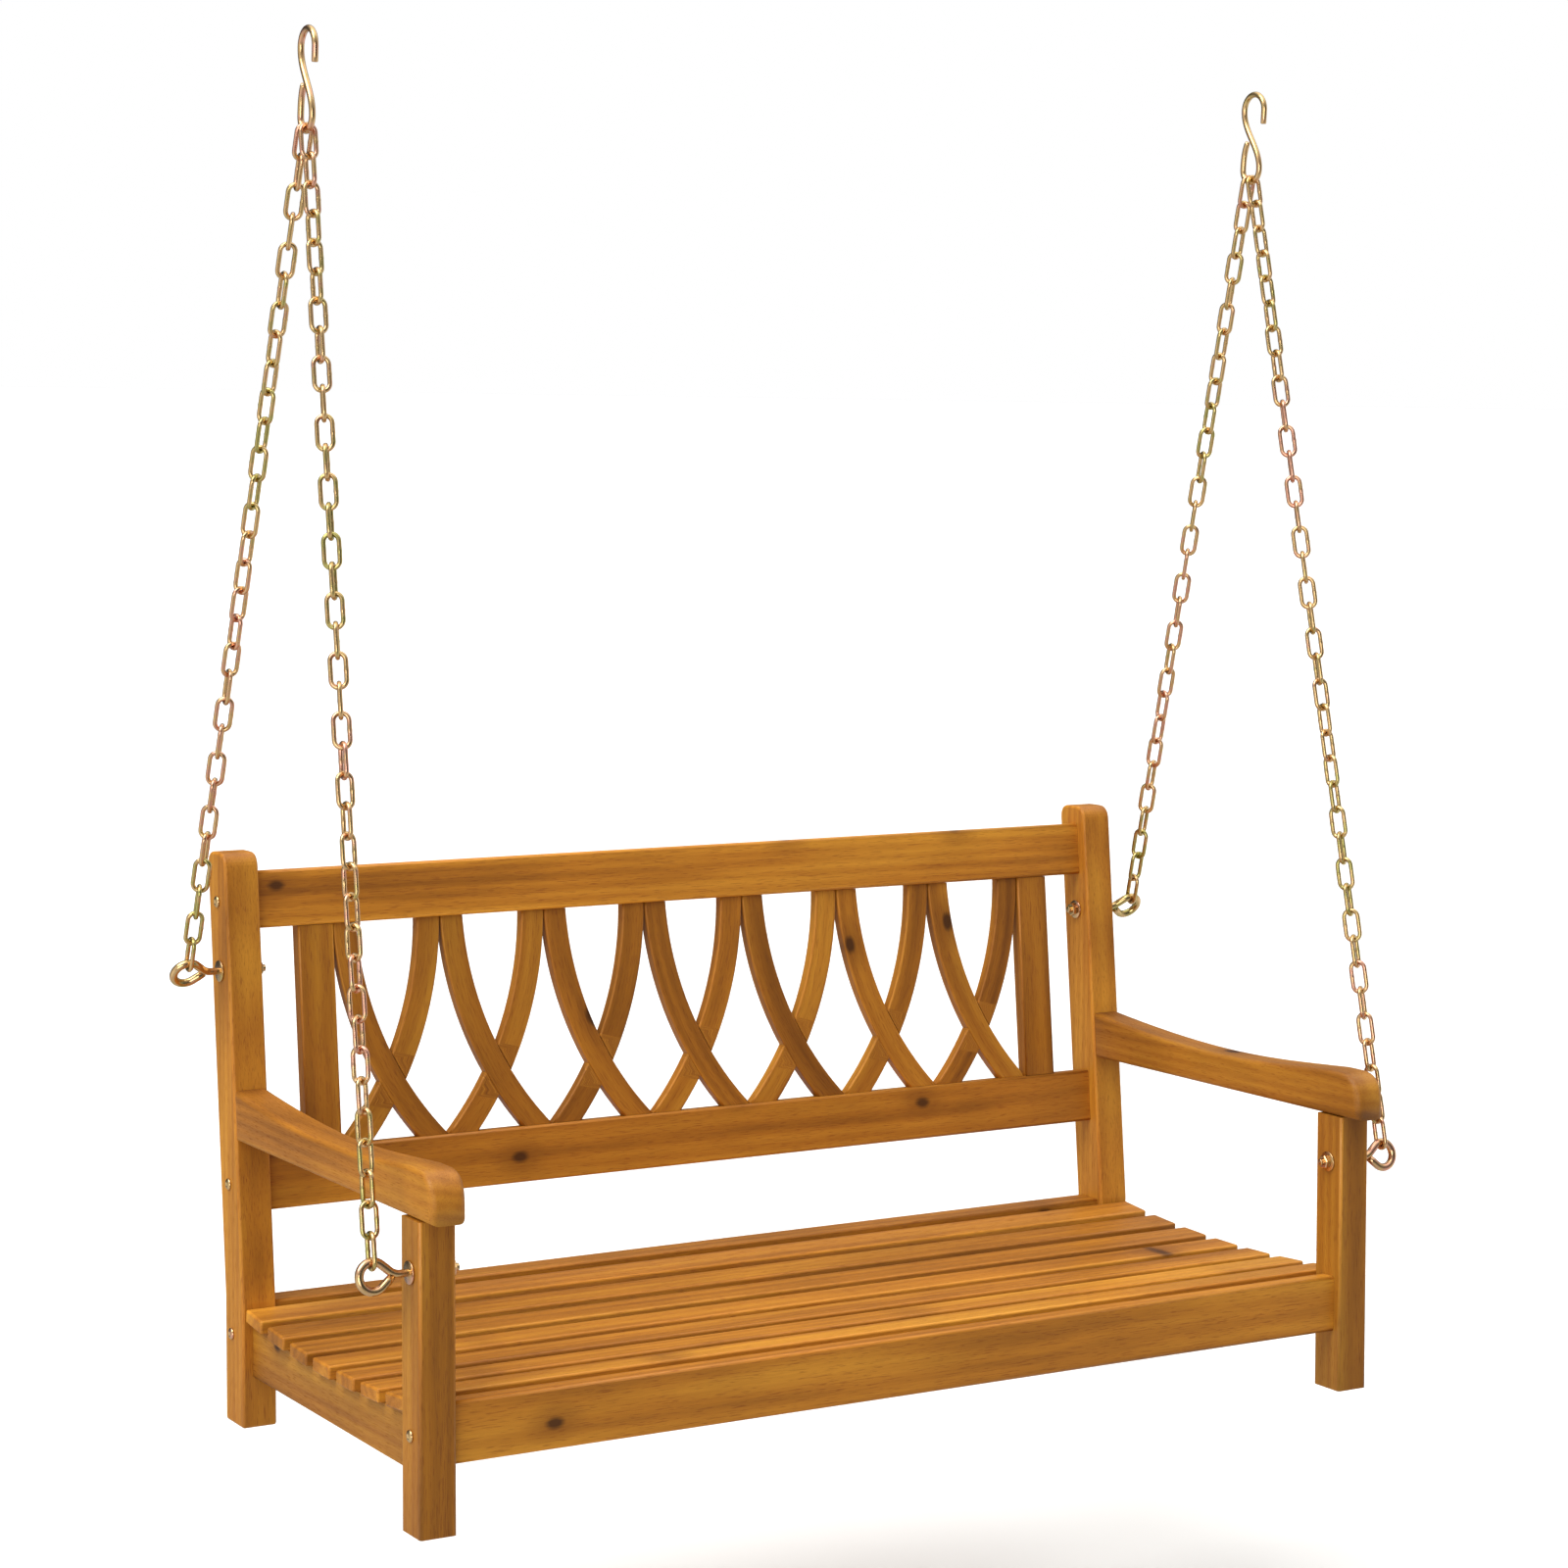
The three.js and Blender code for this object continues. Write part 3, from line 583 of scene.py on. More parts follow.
def axes(u, v, w, origin=(0, 0, 0)):
    """A placement that sends X, Y and Z to three directions."""
    turn = Matrix((u, v, w)).transposed().to_4x4()
    return Matrix.Translation(origin) @ turn


def cross_board(half_length, depth, height, y, z, radius, seed, tilt=0.0, jointed=True):
    """A board lying along X with its section turned about X. A jointed one has square ends."""
    bm = prism(rectangle(depth, height), -half_length, half_length, "X")
    round_arrises(bm, radius, along="X" if jointed else None)
    lay_grain(bm, seed, "xzy")
    return turned(bm, Matrix.Translation((0, y, z)) @ Matrix.Rotation(tilt, 4, "X"))


# ---- the wooden frame

def arc_points(centre, radius, start, end, steps):
    return [(centre[0] + radius * math.cos(start + (end - start) * i / steps),
             centre[1] + radius * math.sin(start + (end - start) * i / steps))
            for i in range(steps + 1)]


def bezier(a, b, c, d, steps):
    points = []
    for i in range(steps + 1):
        t = i / steps
        s = 1 - t
        weights = (s ** 3, 3 * s * s * t, 3 * s * t * t, t ** 3)
        points.append(tuple(sum(w * p[k] for w, p in zip(weights, (a, b, c, d)))
                            for k in range(len(a))))
    return points


def quadratic(a, b, c, steps):
    third = 2 / 3
    first = tuple(p + (q - p) * third for p, q in zip(a, b))
    second = tuple(r + (q - r) * third for r, q in zip(c, b))
    return bezier(a, first, second, c, steps)


def post_outline():
    lean = LEAN_SLOPE * (POST_HEIGHT - KINK_HEIGHT)
    shoulder = POST_HEIGHT - POST_CROWN
    shoulder_lean = LEAN_SLOPE * (shoulder - KINK_HEIGHT)
    rear = quadratic((FRAME_DEPTH + shoulder_lean, shoulder), (FRAME_DEPTH + lean, POST_HEIGHT),
                     (FRAME_DEPTH + lean - POST_CROWN, POST_HEIGHT), 8)
    front = quadratic((POST_FRONT + lean + POST_CROWN, POST_HEIGHT),
                      (POST_FRONT + lean, POST_HEIGHT), (POST_FRONT + shoulder_lean, shoulder), 8)
    return [(POST_FRONT, 0), (FRAME_DEPTH, 0), (FRAME_DEPTH, KINK_HEIGHT), *rear, *front,
            (POST_FRONT, KINK_HEIGHT)]


def arm_outline():
    nose_top = ARM_FRONT + ARM_NOSE
    nose_side = ARM_TOP_FRONT - ARM_NOSE
    back_low = (post_front_at(LEG_HEIGHT) - GAP, LEG_HEIGHT)
    back_high = (post_front_at(ARM_TOP_BACK) - GAP, ARM_TOP_BACK)
    scoop = bezier(back_high, ARM_HOLLOW_BACK, ARM_HOLLOW_FRONT,
                   (nose_top + ARM_NOSE_FLAT, ARM_TOP_FRONT), 24)
    nose = quadratic((nose_top, ARM_TOP_FRONT), (ARM_FRONT, ARM_TOP_FRONT),
                     (ARM_FRONT, nose_side), 10)
    return [back_low, *scoop, *nose, (ARM_FRONT, LEG_HEIGHT)]


def front_leg(seed):
    bm = prism(rectangle(LEG_WIDTH, LEG_DEPTH), 0, LEG_HEIGHT - GAP, "Z")
    round_arrises(bm, bpy.context.scene.swing_wood.arris / MM, along="Z")
    lay_grain(bm, seed, "zxy")
    return moved(bm, y=LEG_DEPTH / 2)


def back_post(seed):
    bm = prism(post_outline(), -LEG_WIDTH / 2, LEG_WIDTH / 2, "X")
    round_arrises(bm, bpy.context.scene.swing_wood.arris / MM, math.radians(40))
    return lay_grain(bm, seed, "zxy")


def inset_at(x, half_width, radius):
    """How far a rounded edge has fallen away, at a distance x from the middle of a board."""
    past = max(0.0, abs(x) - (half_width - radius))
    return radius - math.sqrt(max(0.0, radius ** 2 - past ** 2))


def corner_normals(outline):
    """The mitre direction at each point of a closed outline that runs anticlockwise."""
    count = len(outline)
    points = [Vector(p) for p in outline]
    sides = []
    for i in range(count):
        run = (points[(i + 1) % count] - points[i]).normalized()
        sides.append(Vector((run.y, -run.x)))
    return [(sides[i - 1] + sides[i]) / (1 + sides[i - 1].dot(sides[i])) for i in range(count)]


def armrest(seed):
    """The side profile lofted across the width: its long edges have a small radius, and the
    nose's two corners have a larger one in plan."""
    half = LEG_WIDTH / 2
    small = ARM_ARRIS
    profile = arm_outline()
    normals = corner_normals(profile)
    stations = {half - ARM_CORNER * (1 - math.sin(math.pi / 2 * i / 6)) for i in range(7)}
    stations |= {half - small * (1 - math.sin(math.pi / 2 * i / 5)) for i in range(6)}
    stations = sorted(stations | {-x for x in stations})
    bm = bmesh.new()
    rings = []
    for x in stations:
        ring = []
        for point, normal in zip(profile, normals):
            front = max(0.0, -normal.x) ** 2
            depth = inset_at(x, half, small)
            depth += (inset_at(x, half, ARM_CORNER) - depth) * front
            ring.append(bm.verts.new((x, point[0] - normal.x * depth,
                                      point[1] - normal.y * depth)))
        rings.append(ring)
    skin(bm, rings[::-1])
    soften(bm)
    return lay_grain(bm, seed, "yxz")


class SWING_OT_frame(Operator):
    """Add the two front legs, the two leaning back posts and the two scooped armrests"""
    bl_idname = "swing.frame"
    bl_label = "Legs, posts and armrests"

    def execute(self, context):
        makers = (("front_leg", front_leg), ("back_post", back_post), ("armrest", armrest))
        for node, maker in makers:
            for side, sign in SIDES:
                name = f"{node}_{side}"
                add_board(name, moved(maker(name), sign * LEG_MIDDLE))
        return {"FINISHED"}


# ---- the seat

def dished_board(bottom, front, back, thickness, seed):
    steps = 24
    slack = GAP + DISH_SLACK
    points = [(front, bottom), (back, bottom)]
    for i in range(steps, -1, -1):
        y = front + (back - front) * i / steps
        points.append((y, seat_top_at(y) - SLAT_THICKNESS - slack))
    bm = prism(points, -thickness / 2, thickness / 2, "X")
    round_arrises(bm, HIDDEN_ARRIS, along="Y")
    return lay_grain(bm, seed, "yzx")


class SWING_OT_seat(Operator):
    """Add the apron, the rails under the seat and the dished row of seat slats"""
    bl_idname = "swing.seat"
    bl_label = "Seat"

    def execute(self, context):
        wood = context.scene.swing_wood
        self.add_rails(wood.arris / MM)
        self.add_slats(wood.slat_arris / MM)
        return {"FINISHED"}

    def add_rails(self, arris):
        rear_height = REAR_SLAT_TOP - SLAT_THICKNESS - GAP - APRON_BOTTOM
        for name, front, height in (("front_apron", APRON_SETBACK, RAIL_HEIGHT),
                                    ("rear_seat_rail", REAR_RAIL_FRONT, rear_height)):
            rail = cross_board(CROSS_HALF, RAIL_THICKNESS, height, front + RAIL_THICKNESS / 2,
                               APRON_BOTTOM + height / 2, arris, name)
            add_board(name, rail)
        side = HALF_WIDTH - SIDE_RAIL_SETBACK - RAIL_THICKNESS / 2
        between_legs = (SIDE_RAIL_BOTTOM, LEG_DEPTH + GAP, POST_FRONT - GAP)
        between_rails = (APRON_BOTTOM, APRON_SETBACK + RAIL_THICKNESS + GAP,
                         REAR_RAIL_FRONT - GAP)
        for name, x, extent in (("side_rail_left", -side, between_legs),
                                ("side_rail_right", side, between_legs),
                                ("seat_centre_bearer", 0, between_rails)):
            rail = dished_board(*extent, RAIL_THICKNESS, name)
            add_board(name, moved(rail, x))

    def add_slats(self, arris):
        first = POST_FRONT - BACK_SLAT_SETBACK - SLAT_WIDTH / 2
        last = LEG_DEPTH + FRONT_SLAT_SETBACK + SLAT_WIDTH / 2
        pitch = (first - last) / (SLAT_COUNT - 1)
        for i in range(SLAT_COUNT):
            name = f"seat_slat_{SLAT_COUNT - i}"
            y = first - i * pitch
            tilt = math.atan((y - SEAT_LOW_Y) / SEAT_DISH)
            slat = cross_board(HALF_WIDTH - SLAT_END_SETBACK, SLAT_WIDTH, SLAT_THICKNESS, y,
                               seat_top_at(y) - SLAT_THICKNESS / 2, arris, name, tilt,
                               jointed=False)
            add_board(name, slat)
        rear = cross_board(CROSS_HALF, REAR_SLAT_WIDTH, SLAT_THICKNESS,
                           REAR_RAIL_FRONT + REAR_SLAT_WIDTH / 2,
                           REAR_SLAT_TOP - SLAT_THICKNESS / 2, arris, "rear_seat_slat")
        add_board("rear_seat_slat", rear)


# ---- the back

LEANT = Matrix.Translation((0, POST_MIDDLE, KINK_HEIGHT)) @ Matrix.Rotation(-LEAN, 4, "X")


CURVED_STEPS = 30


def curved_edge(sign, radius):
    """Points down one edge of a slat that starts upright under the top rail at x = 0."""
    centre = SLATS_TOP + CURVED_RISE
    top, bottom = SLATS_TOP - GAP, SLATS_BOTTOM + GAP
    heights = (top + (bottom - top) * i / CURVED_STEPS for i in range(CURVED_STEPS + 1))
    return [(sign * (CURVED_RADIUS - math.sqrt(radius ** 2 - (centre - z) ** 2)), z)
            for z in heights]


def curved_solid(sign, margin, start, end):
    """The slat between two edges, in strips across its width so that the grain bends with it."""
    half = CURVED_WIDTH / 2 + margin
    edges = [curved_edge(sign, CURVED_RADIUS + reach) for reach in (half, -half)]
    bm = bmesh.new()
    rings = []
    for (outer_x, z), (inner_x, _) in zip(*edges):
        corners = ((outer_x, start), (inner_x, start), (inner_x, end), (outer_x, end))
        rings.append([bm.verts.new((x, y, z)) for x, y in corners])
    skin(bm, rings)
    bmesh.ops.recalc_face_normals(bm, faces=bm.faces)
    return bm


def curved_slat(sign, x, seed):
    half = CURVED_THICKNESS / 2
    bm = curved_solid(sign, 0, -half, half)
    arris = bpy.context.scene.swing_wood.fine_arris / MM
    round_arrises(bm, arris, math.radians(40), along="Z")
    centre = Vector((sign * CURVED_RADIUS, 0, SLATS_TOP + CURVED_RISE))

    def measure(p):
        down, out = centre.z - p.z, abs(centre.x - p.x)
        return CURVED_RADIUS * math.atan2(down, out), math.hypot(down, out) - CURVED_RADIUS, p.y

    lay_grain(bm, seed, "zxy", measure)
    return moved(bm, x)


def cut_away(piece, cutter_mesh):
    """Takes a cutter's solid out of a piece and leaves no modifier behind."""
    cutter = bpy.data.objects.new("cutter", cutter_mesh)
    bpy.context.scene.collection.objects.link(cutter)
    cut = piece.modifiers.new("half_lap", "BOOLEAN")
    cut.operation = "DIFFERENCE"
    cut.solver = "EXACT"
    cut.object = cutter
    bpy.context.view_layer.update()
    graph = bpy.context.evaluated_depsgraph_get()
    mesh = bpy.data.meshes.new_from_object(piece.evaluated_get(graph))
    piece.modifiers.clear()
    piece.data = mesh
    bpy.data.objects.remove(cutter)


def lap_cutter(sign, x, start, end):
    bm = curved_solid(sign, LAP_CLEARANCE, start, end)
    bm.transform(BENCH @ LEANT @ Matrix.Translation((x, 0, 0)))
    mesh = bpy.data.meshes.new("cutter")
    bm.to_mesh(mesh)
    bm.free()
    return mesh


class SWING_OT_back(Operator):
    """Add the back's two rails, its straight end slats and its half-lapped curved slats"""
    bl_idname = "swing.back"
    bl_label = "Back"

    def execute(self, context):
        self.add_rails(context.scene.swing_wood.arris / MM)
        self.add_straight(context.scene.swing_wood.fine_arris / MM)
        self.add_curved()
        return {"FINISHED"}

    def add_rails(self, arris):
        height = RAIL_HEIGHT / math.cos(LEAN)
        for name, bottom in (("back_bottom_rail", LOWER_RAIL_BOTTOM),
                             ("back_top_rail", TOP_RAIL_BOTTOM)):
            rail = cross_board(CROSS_HALF, RAIL_THICKNESS, height, 0,
                               along_back(bottom) + height / 2, arris, name)
            add_board(name, turned(rail, LEANT))

    def add_straight(self, arris):
        for side, sign in SIDES:
            name = f"back_slat_{side}"
            bm = prism(rectangle(STRAIGHT_WIDTH, STRAIGHT_THICKNESS), SLATS_BOTTOM + GAP,
                       SLATS_TOP - GAP, "Z")
            round_arrises(bm, arris, along="Z")
            lay_grain(bm, name, "zxy")
            place = LEANT @ Matrix.Translation((sign * (CURVED_SPAN + STRAIGHT_WIDTH / 2), 0, 0))
            add_board(name, turned(bm, place))

    def add_curved(self):
        half = CURVED_THICKNESS / 2
        pitch = 2 * CURVED_SPAN / CURVED_PAIRS
        offset = CURVED_WIDTH / 2 + GAP / 2
        deep = half + LAP_OVERRUN
        for k in range(CURVED_PAIRS):
            left = -CURVED_SPAN + k * pitch + offset
            right = -CURVED_SPAN + (k + 1) * pitch - offset
            pair = (("falling", 1, left, (-1, right, 0, deep)),
                    ("rising", -1, right, (1, left, -deep, 0)))
            for kind, sign, x, cut in pair:
                name = f"curved_slat_{kind}_{k + 1}"
                piece = add_board(name, turned(curved_slat(sign, x, name), LEANT))
                cut_away(piece, lap_cutter(*cut))


# ---- steel parts

def sweep(bm, points, radii, normal, sides, closed, tint):
    """A round wire along a flat path. `normal` is square to the path's plane."""
    tone = layer(bm.verts.layers.float, "tone")
    count = len(points)
    rings = []
    for i, (point, radius) in enumerate(zip(points, radii)):
        before = points[i - 1] if closed or i > 0 else points[i]
        after = points[(i + 1) % count] if closed or i < count - 1 else points[i]
        outward = (after - before).normalized().cross(normal)
        ring = []
        for j in range(sides):
            angle = 2 * math.pi * j / sides
            vert = bm.verts.new(point + (outward * math.cos(angle) + normal * math.sin(angle))
                                * radius)
            vert[tone] = tint
            ring.append(vert)
        rings.append(ring)
    for face in skin(bm, rings, closed):
        face.smooth = True
    return bm


def tinted(bm, tint):
    tone = layer(bm.verts.layers.float, "tone")
    for vert in bm.verts:
        vert[tone] = tint
    return bm


def circle(bm, x, radius, sides):
    """Points round the X axis."""
    angles = (2 * math.pi * j / sides for j in range(sides))
    return [bm.verts.new((x, radius * math.cos(a), radius * math.sin(a))) for a in angles]


def spin(profile, sides, tint):
    """A turned part about X. Its profile of (x, radius) starts and ends on the axis."""
    bm = bmesh.new()
    rings = [circle(bm, x, radius, sides if radius else 1) for x, radius in profile]
    for near, far in zip(rings, rings[1:]):
        for j in range(sides):
            k = (j + 1) % sides
            corners = [near[j % len(near)], near[k % len(near)], far[k % len(far)],
                       far[j % len(far)]]
            unique = list(dict.fromkeys(corners))
            if len(unique) > 2:
                bm.faces.new(unique)
    return tinted(bm, tint)


def soften(bm, limit=math.radians(35)):
    """Smooth shading, with the edges sharper than a limit kept crisp."""
    for face in bm.faces:
        face.smooth = True
    for edge in bm.edges:
        if len(edge.link_faces) == 2 and edge.calc_face_angle() > limit:
            edge.smooth = False
    return bm


# ---- eye bolts

EYES = (("front", LEG_DEPTH / 2, FRONT_EYE_HEIGHT),
        ("rear", post_middle_at(REAR_EYE_HEIGHT), REAR_EYE_HEIGHT))

# How far each eye bolt's plating is from gold, towards rose (below 0) or green.
EYE_TINTS = {"front_left": -0.15, "front_right": -0.45, "rear_left": 0.1, "rear_right": 0.5}


def eye_turn(place, y, z):
    if place == "rear":
        return REAR_EYE_TURN
    return math.atan2(y - HOOK_Y, HOOK_EYE_HEIGHT - z)


def eye_centre(y, z, sign):
    return Vector((sign * (HALF_WIDTH + EYE_REACH), y, z))


def upright(points):
    """Flat points stood up in the XZ plane."""
    return [Vector((x, 0, z)) for x, z in points]


def eye_bolt_mesh(tint):
    """Wire bent into a pear-shaped eye whose end closes on its own shank, for the end at +X."""
    centre = HALF_WIDTH + EYE_REACH
    apex = Vector((centre - EYE_APEX, 0))
    open_half = math.pi - math.acos(EYE_RING / EYE_APEX)
    top = Vector((centre + EYE_RING * math.cos(open_half), EYE_RING * math.sin(open_half)))
    low = Vector((top.x, -top.y))
    end = low.lerp(apex, EYE_CLOSING)
    rise = quadratic((apex.x - EYE_NECK, 0), (apex.x + 1, 0),
                     tuple(apex.lerp(top, EYE_RISE_SHARE)), 6)
    loop = arc_points((centre, 0), EYE_RING, open_half, -open_half, 36)
    shank_start = LEG_INNER - SHANK_STUB + PLAIN_SHANK_START
    shank = [(x, 0) for x in (shank_start, LEG_INNER, HALF_WIDTH)]
    points = upright([*shank, *rise, *loop, low.lerp(end, 0.5), end])
    radii = [SHANK] * len(shank)
    radii += [SHANK + (EYE_WIRE - SHANK) * i / (len(rise) - 1) for i in range(len(rise))]
    radii += [EYE_WIRE] * (len(points) - len(radii) - 1) + [EYE_WIRE * EYE_END_TAPER]
    return sweep(bmesh.new(), points, radii, Vector((0, 1, 0)), 16, False, tint)


def thread_mesh(tint):
    """The threaded end of an eye bolt past its nut, as close rings."""
    start = LEG_INNER - SHANK_STUB
    profile = [(start, 0), (start, SHANK - THREAD_CHAMFER * 2)]
    for i in range(THREAD_TURNS):
        x = start + THREAD_CHAMFER + i * THREAD_PITCH
        profile += [(x, SHANK), (x + THREAD_PITCH / 2, SHANK - THREAD_DEPTH)]
    end = start + THREAD_CHAMFER + THREAD_TURNS * THREAD_PITCH
    profile += [(end, SHANK - THREAD_RUNOUT), (end, 0)]
    return soften(spin(profile, 20, tint), math.radians(80))


def washer_mesh(inner_face, outer_radius, tint):
    edge = 0.35
    outer_face = inner_face + WASHER_THICKNESS
    profile = [(inner_face, 0), (inner_face, outer_radius - edge),
               (inner_face + edge, outer_radius), (outer_face - edge, outer_radius),
               (outer_face, outer_radius - edge), (outer_face, 0)]
    return soften(spin(profile, 40, tint))


def nut_mesh(start, tint):
    """A hexagon nut with its corners chamfered on both faces."""
    flat = NUT_RADIUS * math.cos(math.pi / 6)
    chamfer = 0.9
    end = start + NUT_THICKNESS
    bm = bmesh.new()
    rings = [circle(bm, x, radius, 6)
             for x, radius in ((start, flat), (start + chamfer, NUT_RADIUS),
                               (end - chamfer, NUT_RADIUS), (end, flat))]
    skin(bm, rings, capped=False)
    bm.faces.new(rings[0])
    bm.faces.new(rings[-1])
    tinted(bm, tint)
    edges = [e for e in bm.edges if e.calc_face_angle() > math.radians(20)]
    bmesh.ops.bevel(bm, geom=edges, offset=0.25, segments=2, profile=0.5, affect="EDGES")
    return bm


def facing(sign):
    """A part drawn for the end at +X is turned about Z for the other end."""
    return Matrix.Rotation(0 if sign > 0 else math.pi, 4, "Z")


class SWING_OT_eye_bolts(Operator):
    """Add the four eye bolts with their washers, nuts and threaded ends"""
    bl_idname = "swing.eye_bolts"
    bl_label = "Eye bolts"

    def execute(self, context):
        washer_face = LEG_INNER - GAP - WASHER_THICKNESS
        for place, y, z in EYES:
            for side, sign in SIDES:
                tag = f"{place}_{side}"
                outer = washer_mesh(HALF_WIDTH + GAP, WASHER_RADIUS, -0.1)
                inner = washer_mesh(washer_face, INNER_WASHER_RADIUS, -0.2)
                parts = (
                    (f"eye_bolt_{tag}_wire", eye_bolt_mesh(EYE_TINTS[tag]), [f"eye_bolt_{tag}"]),
                    (f"thread_{tag}", thread_mesh(0.1), ()),
                    (f"washer_{tag}_plate", outer, [f"washer_{tag}"]),
                    (f"inner_washer_{tag}", inner, ()),
                    (f"nut_{tag}_hexagon", nut_mesh(washer_face - NUT_THICKNESS, 0.0),
                     [f"nut_{tag}"]),
                )
                where = (Matrix.Translation((0, y, z))
                         @ Matrix.Rotation(eye_turn(place, y, z), 4, "X") @ facing(sign))
                for name, bm, nodes in parts:
                    add_steel(name, turned(bm, where), "bench", nodes)
        return {"FINISHED"}


# ---- chains and hooks

def strand_ends(place, y, z, sign):
    """Where a strand's first link bears on the hook's eye, and its last one on the ring."""
    hook_eye = Vector((sign * HOOK_X, HOOK_Y, HOOK_EYE_HEIGHT))
    centre = eye_centre(y, z, sign)
    up = (hook_eye - centre).normalized()
    slope = math.atan2(-up.y, up.z)
    bearing = slope + math.copysign(TOP_LINK_SPREAD, slope)
    top = hook_eye + Vector((0, math.sin(bearing), -math.cos(bearing))) * HOOK_EYE
    top += up * HOOK_WIRE
    turn = eye_turn(place, y, z)
    bottom = centre + Vector((0, -math.sin(turn), math.cos(turn))) * EYE_RING - up * EYE_WIRE
    return top, bottom


def link_path(inner_length, wire):
    """The centreline of a link standing along Z in the XZ plane, and its wire's radius, which
    swells a little at the weld in the middle of one side."""
    bend = LINK_BEND
    reach = inner_length / 2 + wire - bend
    points = [*arc_points((0, reach), bend, 0, math.pi, 12),
              *((-bend, reach * f) for f in (0.33, -0.33)),
              *arc_points((0, -reach), bend, math.pi, 2 * math.pi, 12),
              *((bend, reach * f) for f, _ in LINK_WELD)]
    radii = [wire] * (len(points) - len(LINK_WELD)) + [wire * swell for _, swell in LINK_WELD]
    return upright(points), radii


def strand_twist(i, count, amount, phase):
    """Links lie flat and edge on by turns. Between its fixed ends a strand still winds a little
    one way and back."""
    ends = min(1.0, 3 * math.sin(math.pi * i / (count - 1)))
    return (i % 2) * math.pi / 2 + amount * ends * math.sin(phase + 7.5 * i / count)


# Where each strand's drift of colour starts, in radians.
STRAND_DRIFTS = {"front_left": 5.1, "front_right": 2.0, "rear_left": 5.3, "rear_right": 5.4}


def strand_tint(i, count, phase):
    """The plating's colour drifts along a strand, so that neighbouring links are alike."""
    place = i / count
    return 0.42 * math.sin(phase + 9.0 * place) + 0.30 * math.sin(2.3 * phase + 23.0 * place)


def add_strand(place, y, z, side, sign):
    steel = bpy.context.scene.swing_steel
    wire = steel.link_wire / MM
    count = LINKS[place]
    chance = random.Random(f"{place} {side}")
    phase = chance.uniform(0, 2 * math.pi)
    top, bottom = strand_ends(place, y, z, sign)
    down = (bottom - top).normalized()
    inner = (bottom - top).length / count
    across = Vector((0, 1, 0)).cross(-down).normalized()
    through = (-down).cross(across)
    points, radii = link_path(inner, wire)
    tag = f"{place}_{side}"
    first = bmesh.new()
    others = bmesh.new()
    for i in range(count):
        middle = top + down * inner * (i + 0.5)
        turn = strand_twist(i, count, steel.twist, phase)
        jitter = math.radians(chance.uniform(-6, 6)) if 0 < i < count - 1 else 0.0
        spun = Matrix.Rotation(turn + jitter, 4, "Z")
        place_link = axes(across, through, -down, middle) @ spun
        normal = place_link.to_3x3() @ Vector((0, 1, 0))
        target = first if i == 0 else others
        sweep(target, [place_link @ p for p in points], radii, normal.normalized(), 12, True,
              strand_tint(i, count, STRAND_DRIFTS[tag]) + chance.uniform(-0.15, 0.15))
    add_steel(f"top_link_{tag}_wire", first, f"top_links_{side}", [f"top_link_{tag}"])
    add_steel(f"chain_{tag}_links", others, f"chains_{side}", [f"chain_{tag}"])


class SWING_OT_chains(Operator):
    """Add the four strands of chain, link by link"""
    bl_idname = "swing.chains"
    bl_label = "Chains"

    def execute(self, context):
        for place, y, z in EYES:
            for side, sign in SIDES:
                add_strand(place, y, z, side, sign)
        return {"FINISHED"}


def hook_path():
    """From the free tip over the top, across to the eye, round under it and back to the shank."""
    rise, bend, eye = HOOK_RISE, HOOK_BEND, HOOK_EYE
    points = [(-bend, rise - HOOK_TIP), (-bend, rise - HOOK_TIP + 1),
              (-bend, rise - HOOK_TIP / 2)]
    points += arc_points((0, rise), bend, math.pi, 0, 28)
    points += bezier((bend, rise), (bend, rise - HOOK_SWEEP), (-eye, HOOK_SWEEP), (-eye, 0),
                     22)[1:]
    points += arc_points((0, 0), eye, -math.pi, 0, 24)[1:]
    points += bezier((eye, 0), (eye, HOOK_CURL_LOW), (eye - HOOK_CURL_TURN, HOOK_CURL_HIGH),
                     HOOK_CURL_END, 10)[1:]
    return [Vector((0, y, z)) for y, z in points]


class SWING_OT_hooks(Operator):
    """Add the two S-hooks that the chains hang from"""
    bl_idname = "swing.hooks"
    bl_label = "S-hooks"

    def execute(self, context):
        points = hook_path()
        cut_end = HOOK_WIRE * CUT_END
        radii = [cut_end] + [HOOK_WIRE] * (len(points) - 2) + [cut_end]
        bearing = HOOK_RISE + HOOK_BEND - HOOK_WIRE
        for side, sign in SIDES:
            bm = sweep(bmesh.new(), points, radii, Vector((1, 0, 0)), 18, False, 0.15 * sign)
            place = Matrix.Translation((sign * HOOK_X * MM, 0, -bearing * MM))
            bm.transform(BENCH.inverted() @ place @ Matrix.Scale(MM, 4))
            add_steel(f"hook_{side}_wire", bm, "hooks", [f"hook_{side}"])
        return {"FINISHED"}


# ---- bolt heads

def bolt_head_mesh(tint):
    """A low domed head with a round socket, standing on X = 0."""
    rim = BOLT_RISE - BOLT_DOME
    floor = BOLT_RISE - BOLT_SOCKET_DEPTH
    profile = [(0, 0), (0, BOLT_RADIUS), (rim, BOLT_RADIUS)]
    profile += [(rim + BOLT_DOME * math.sin(a),
                 BOLT_CROWN + (BOLT_RADIUS - BOLT_CROWN) * math.cos(a))
                for a in (math.radians(15 * i) for i in range(1, 6))]
    profile += [(BOLT_RISE, BOLT_SOCKET), (floor, BOLT_SOCKET * 0.95), (floor, 0)]
    return soften(spin(profile, 24, tint))


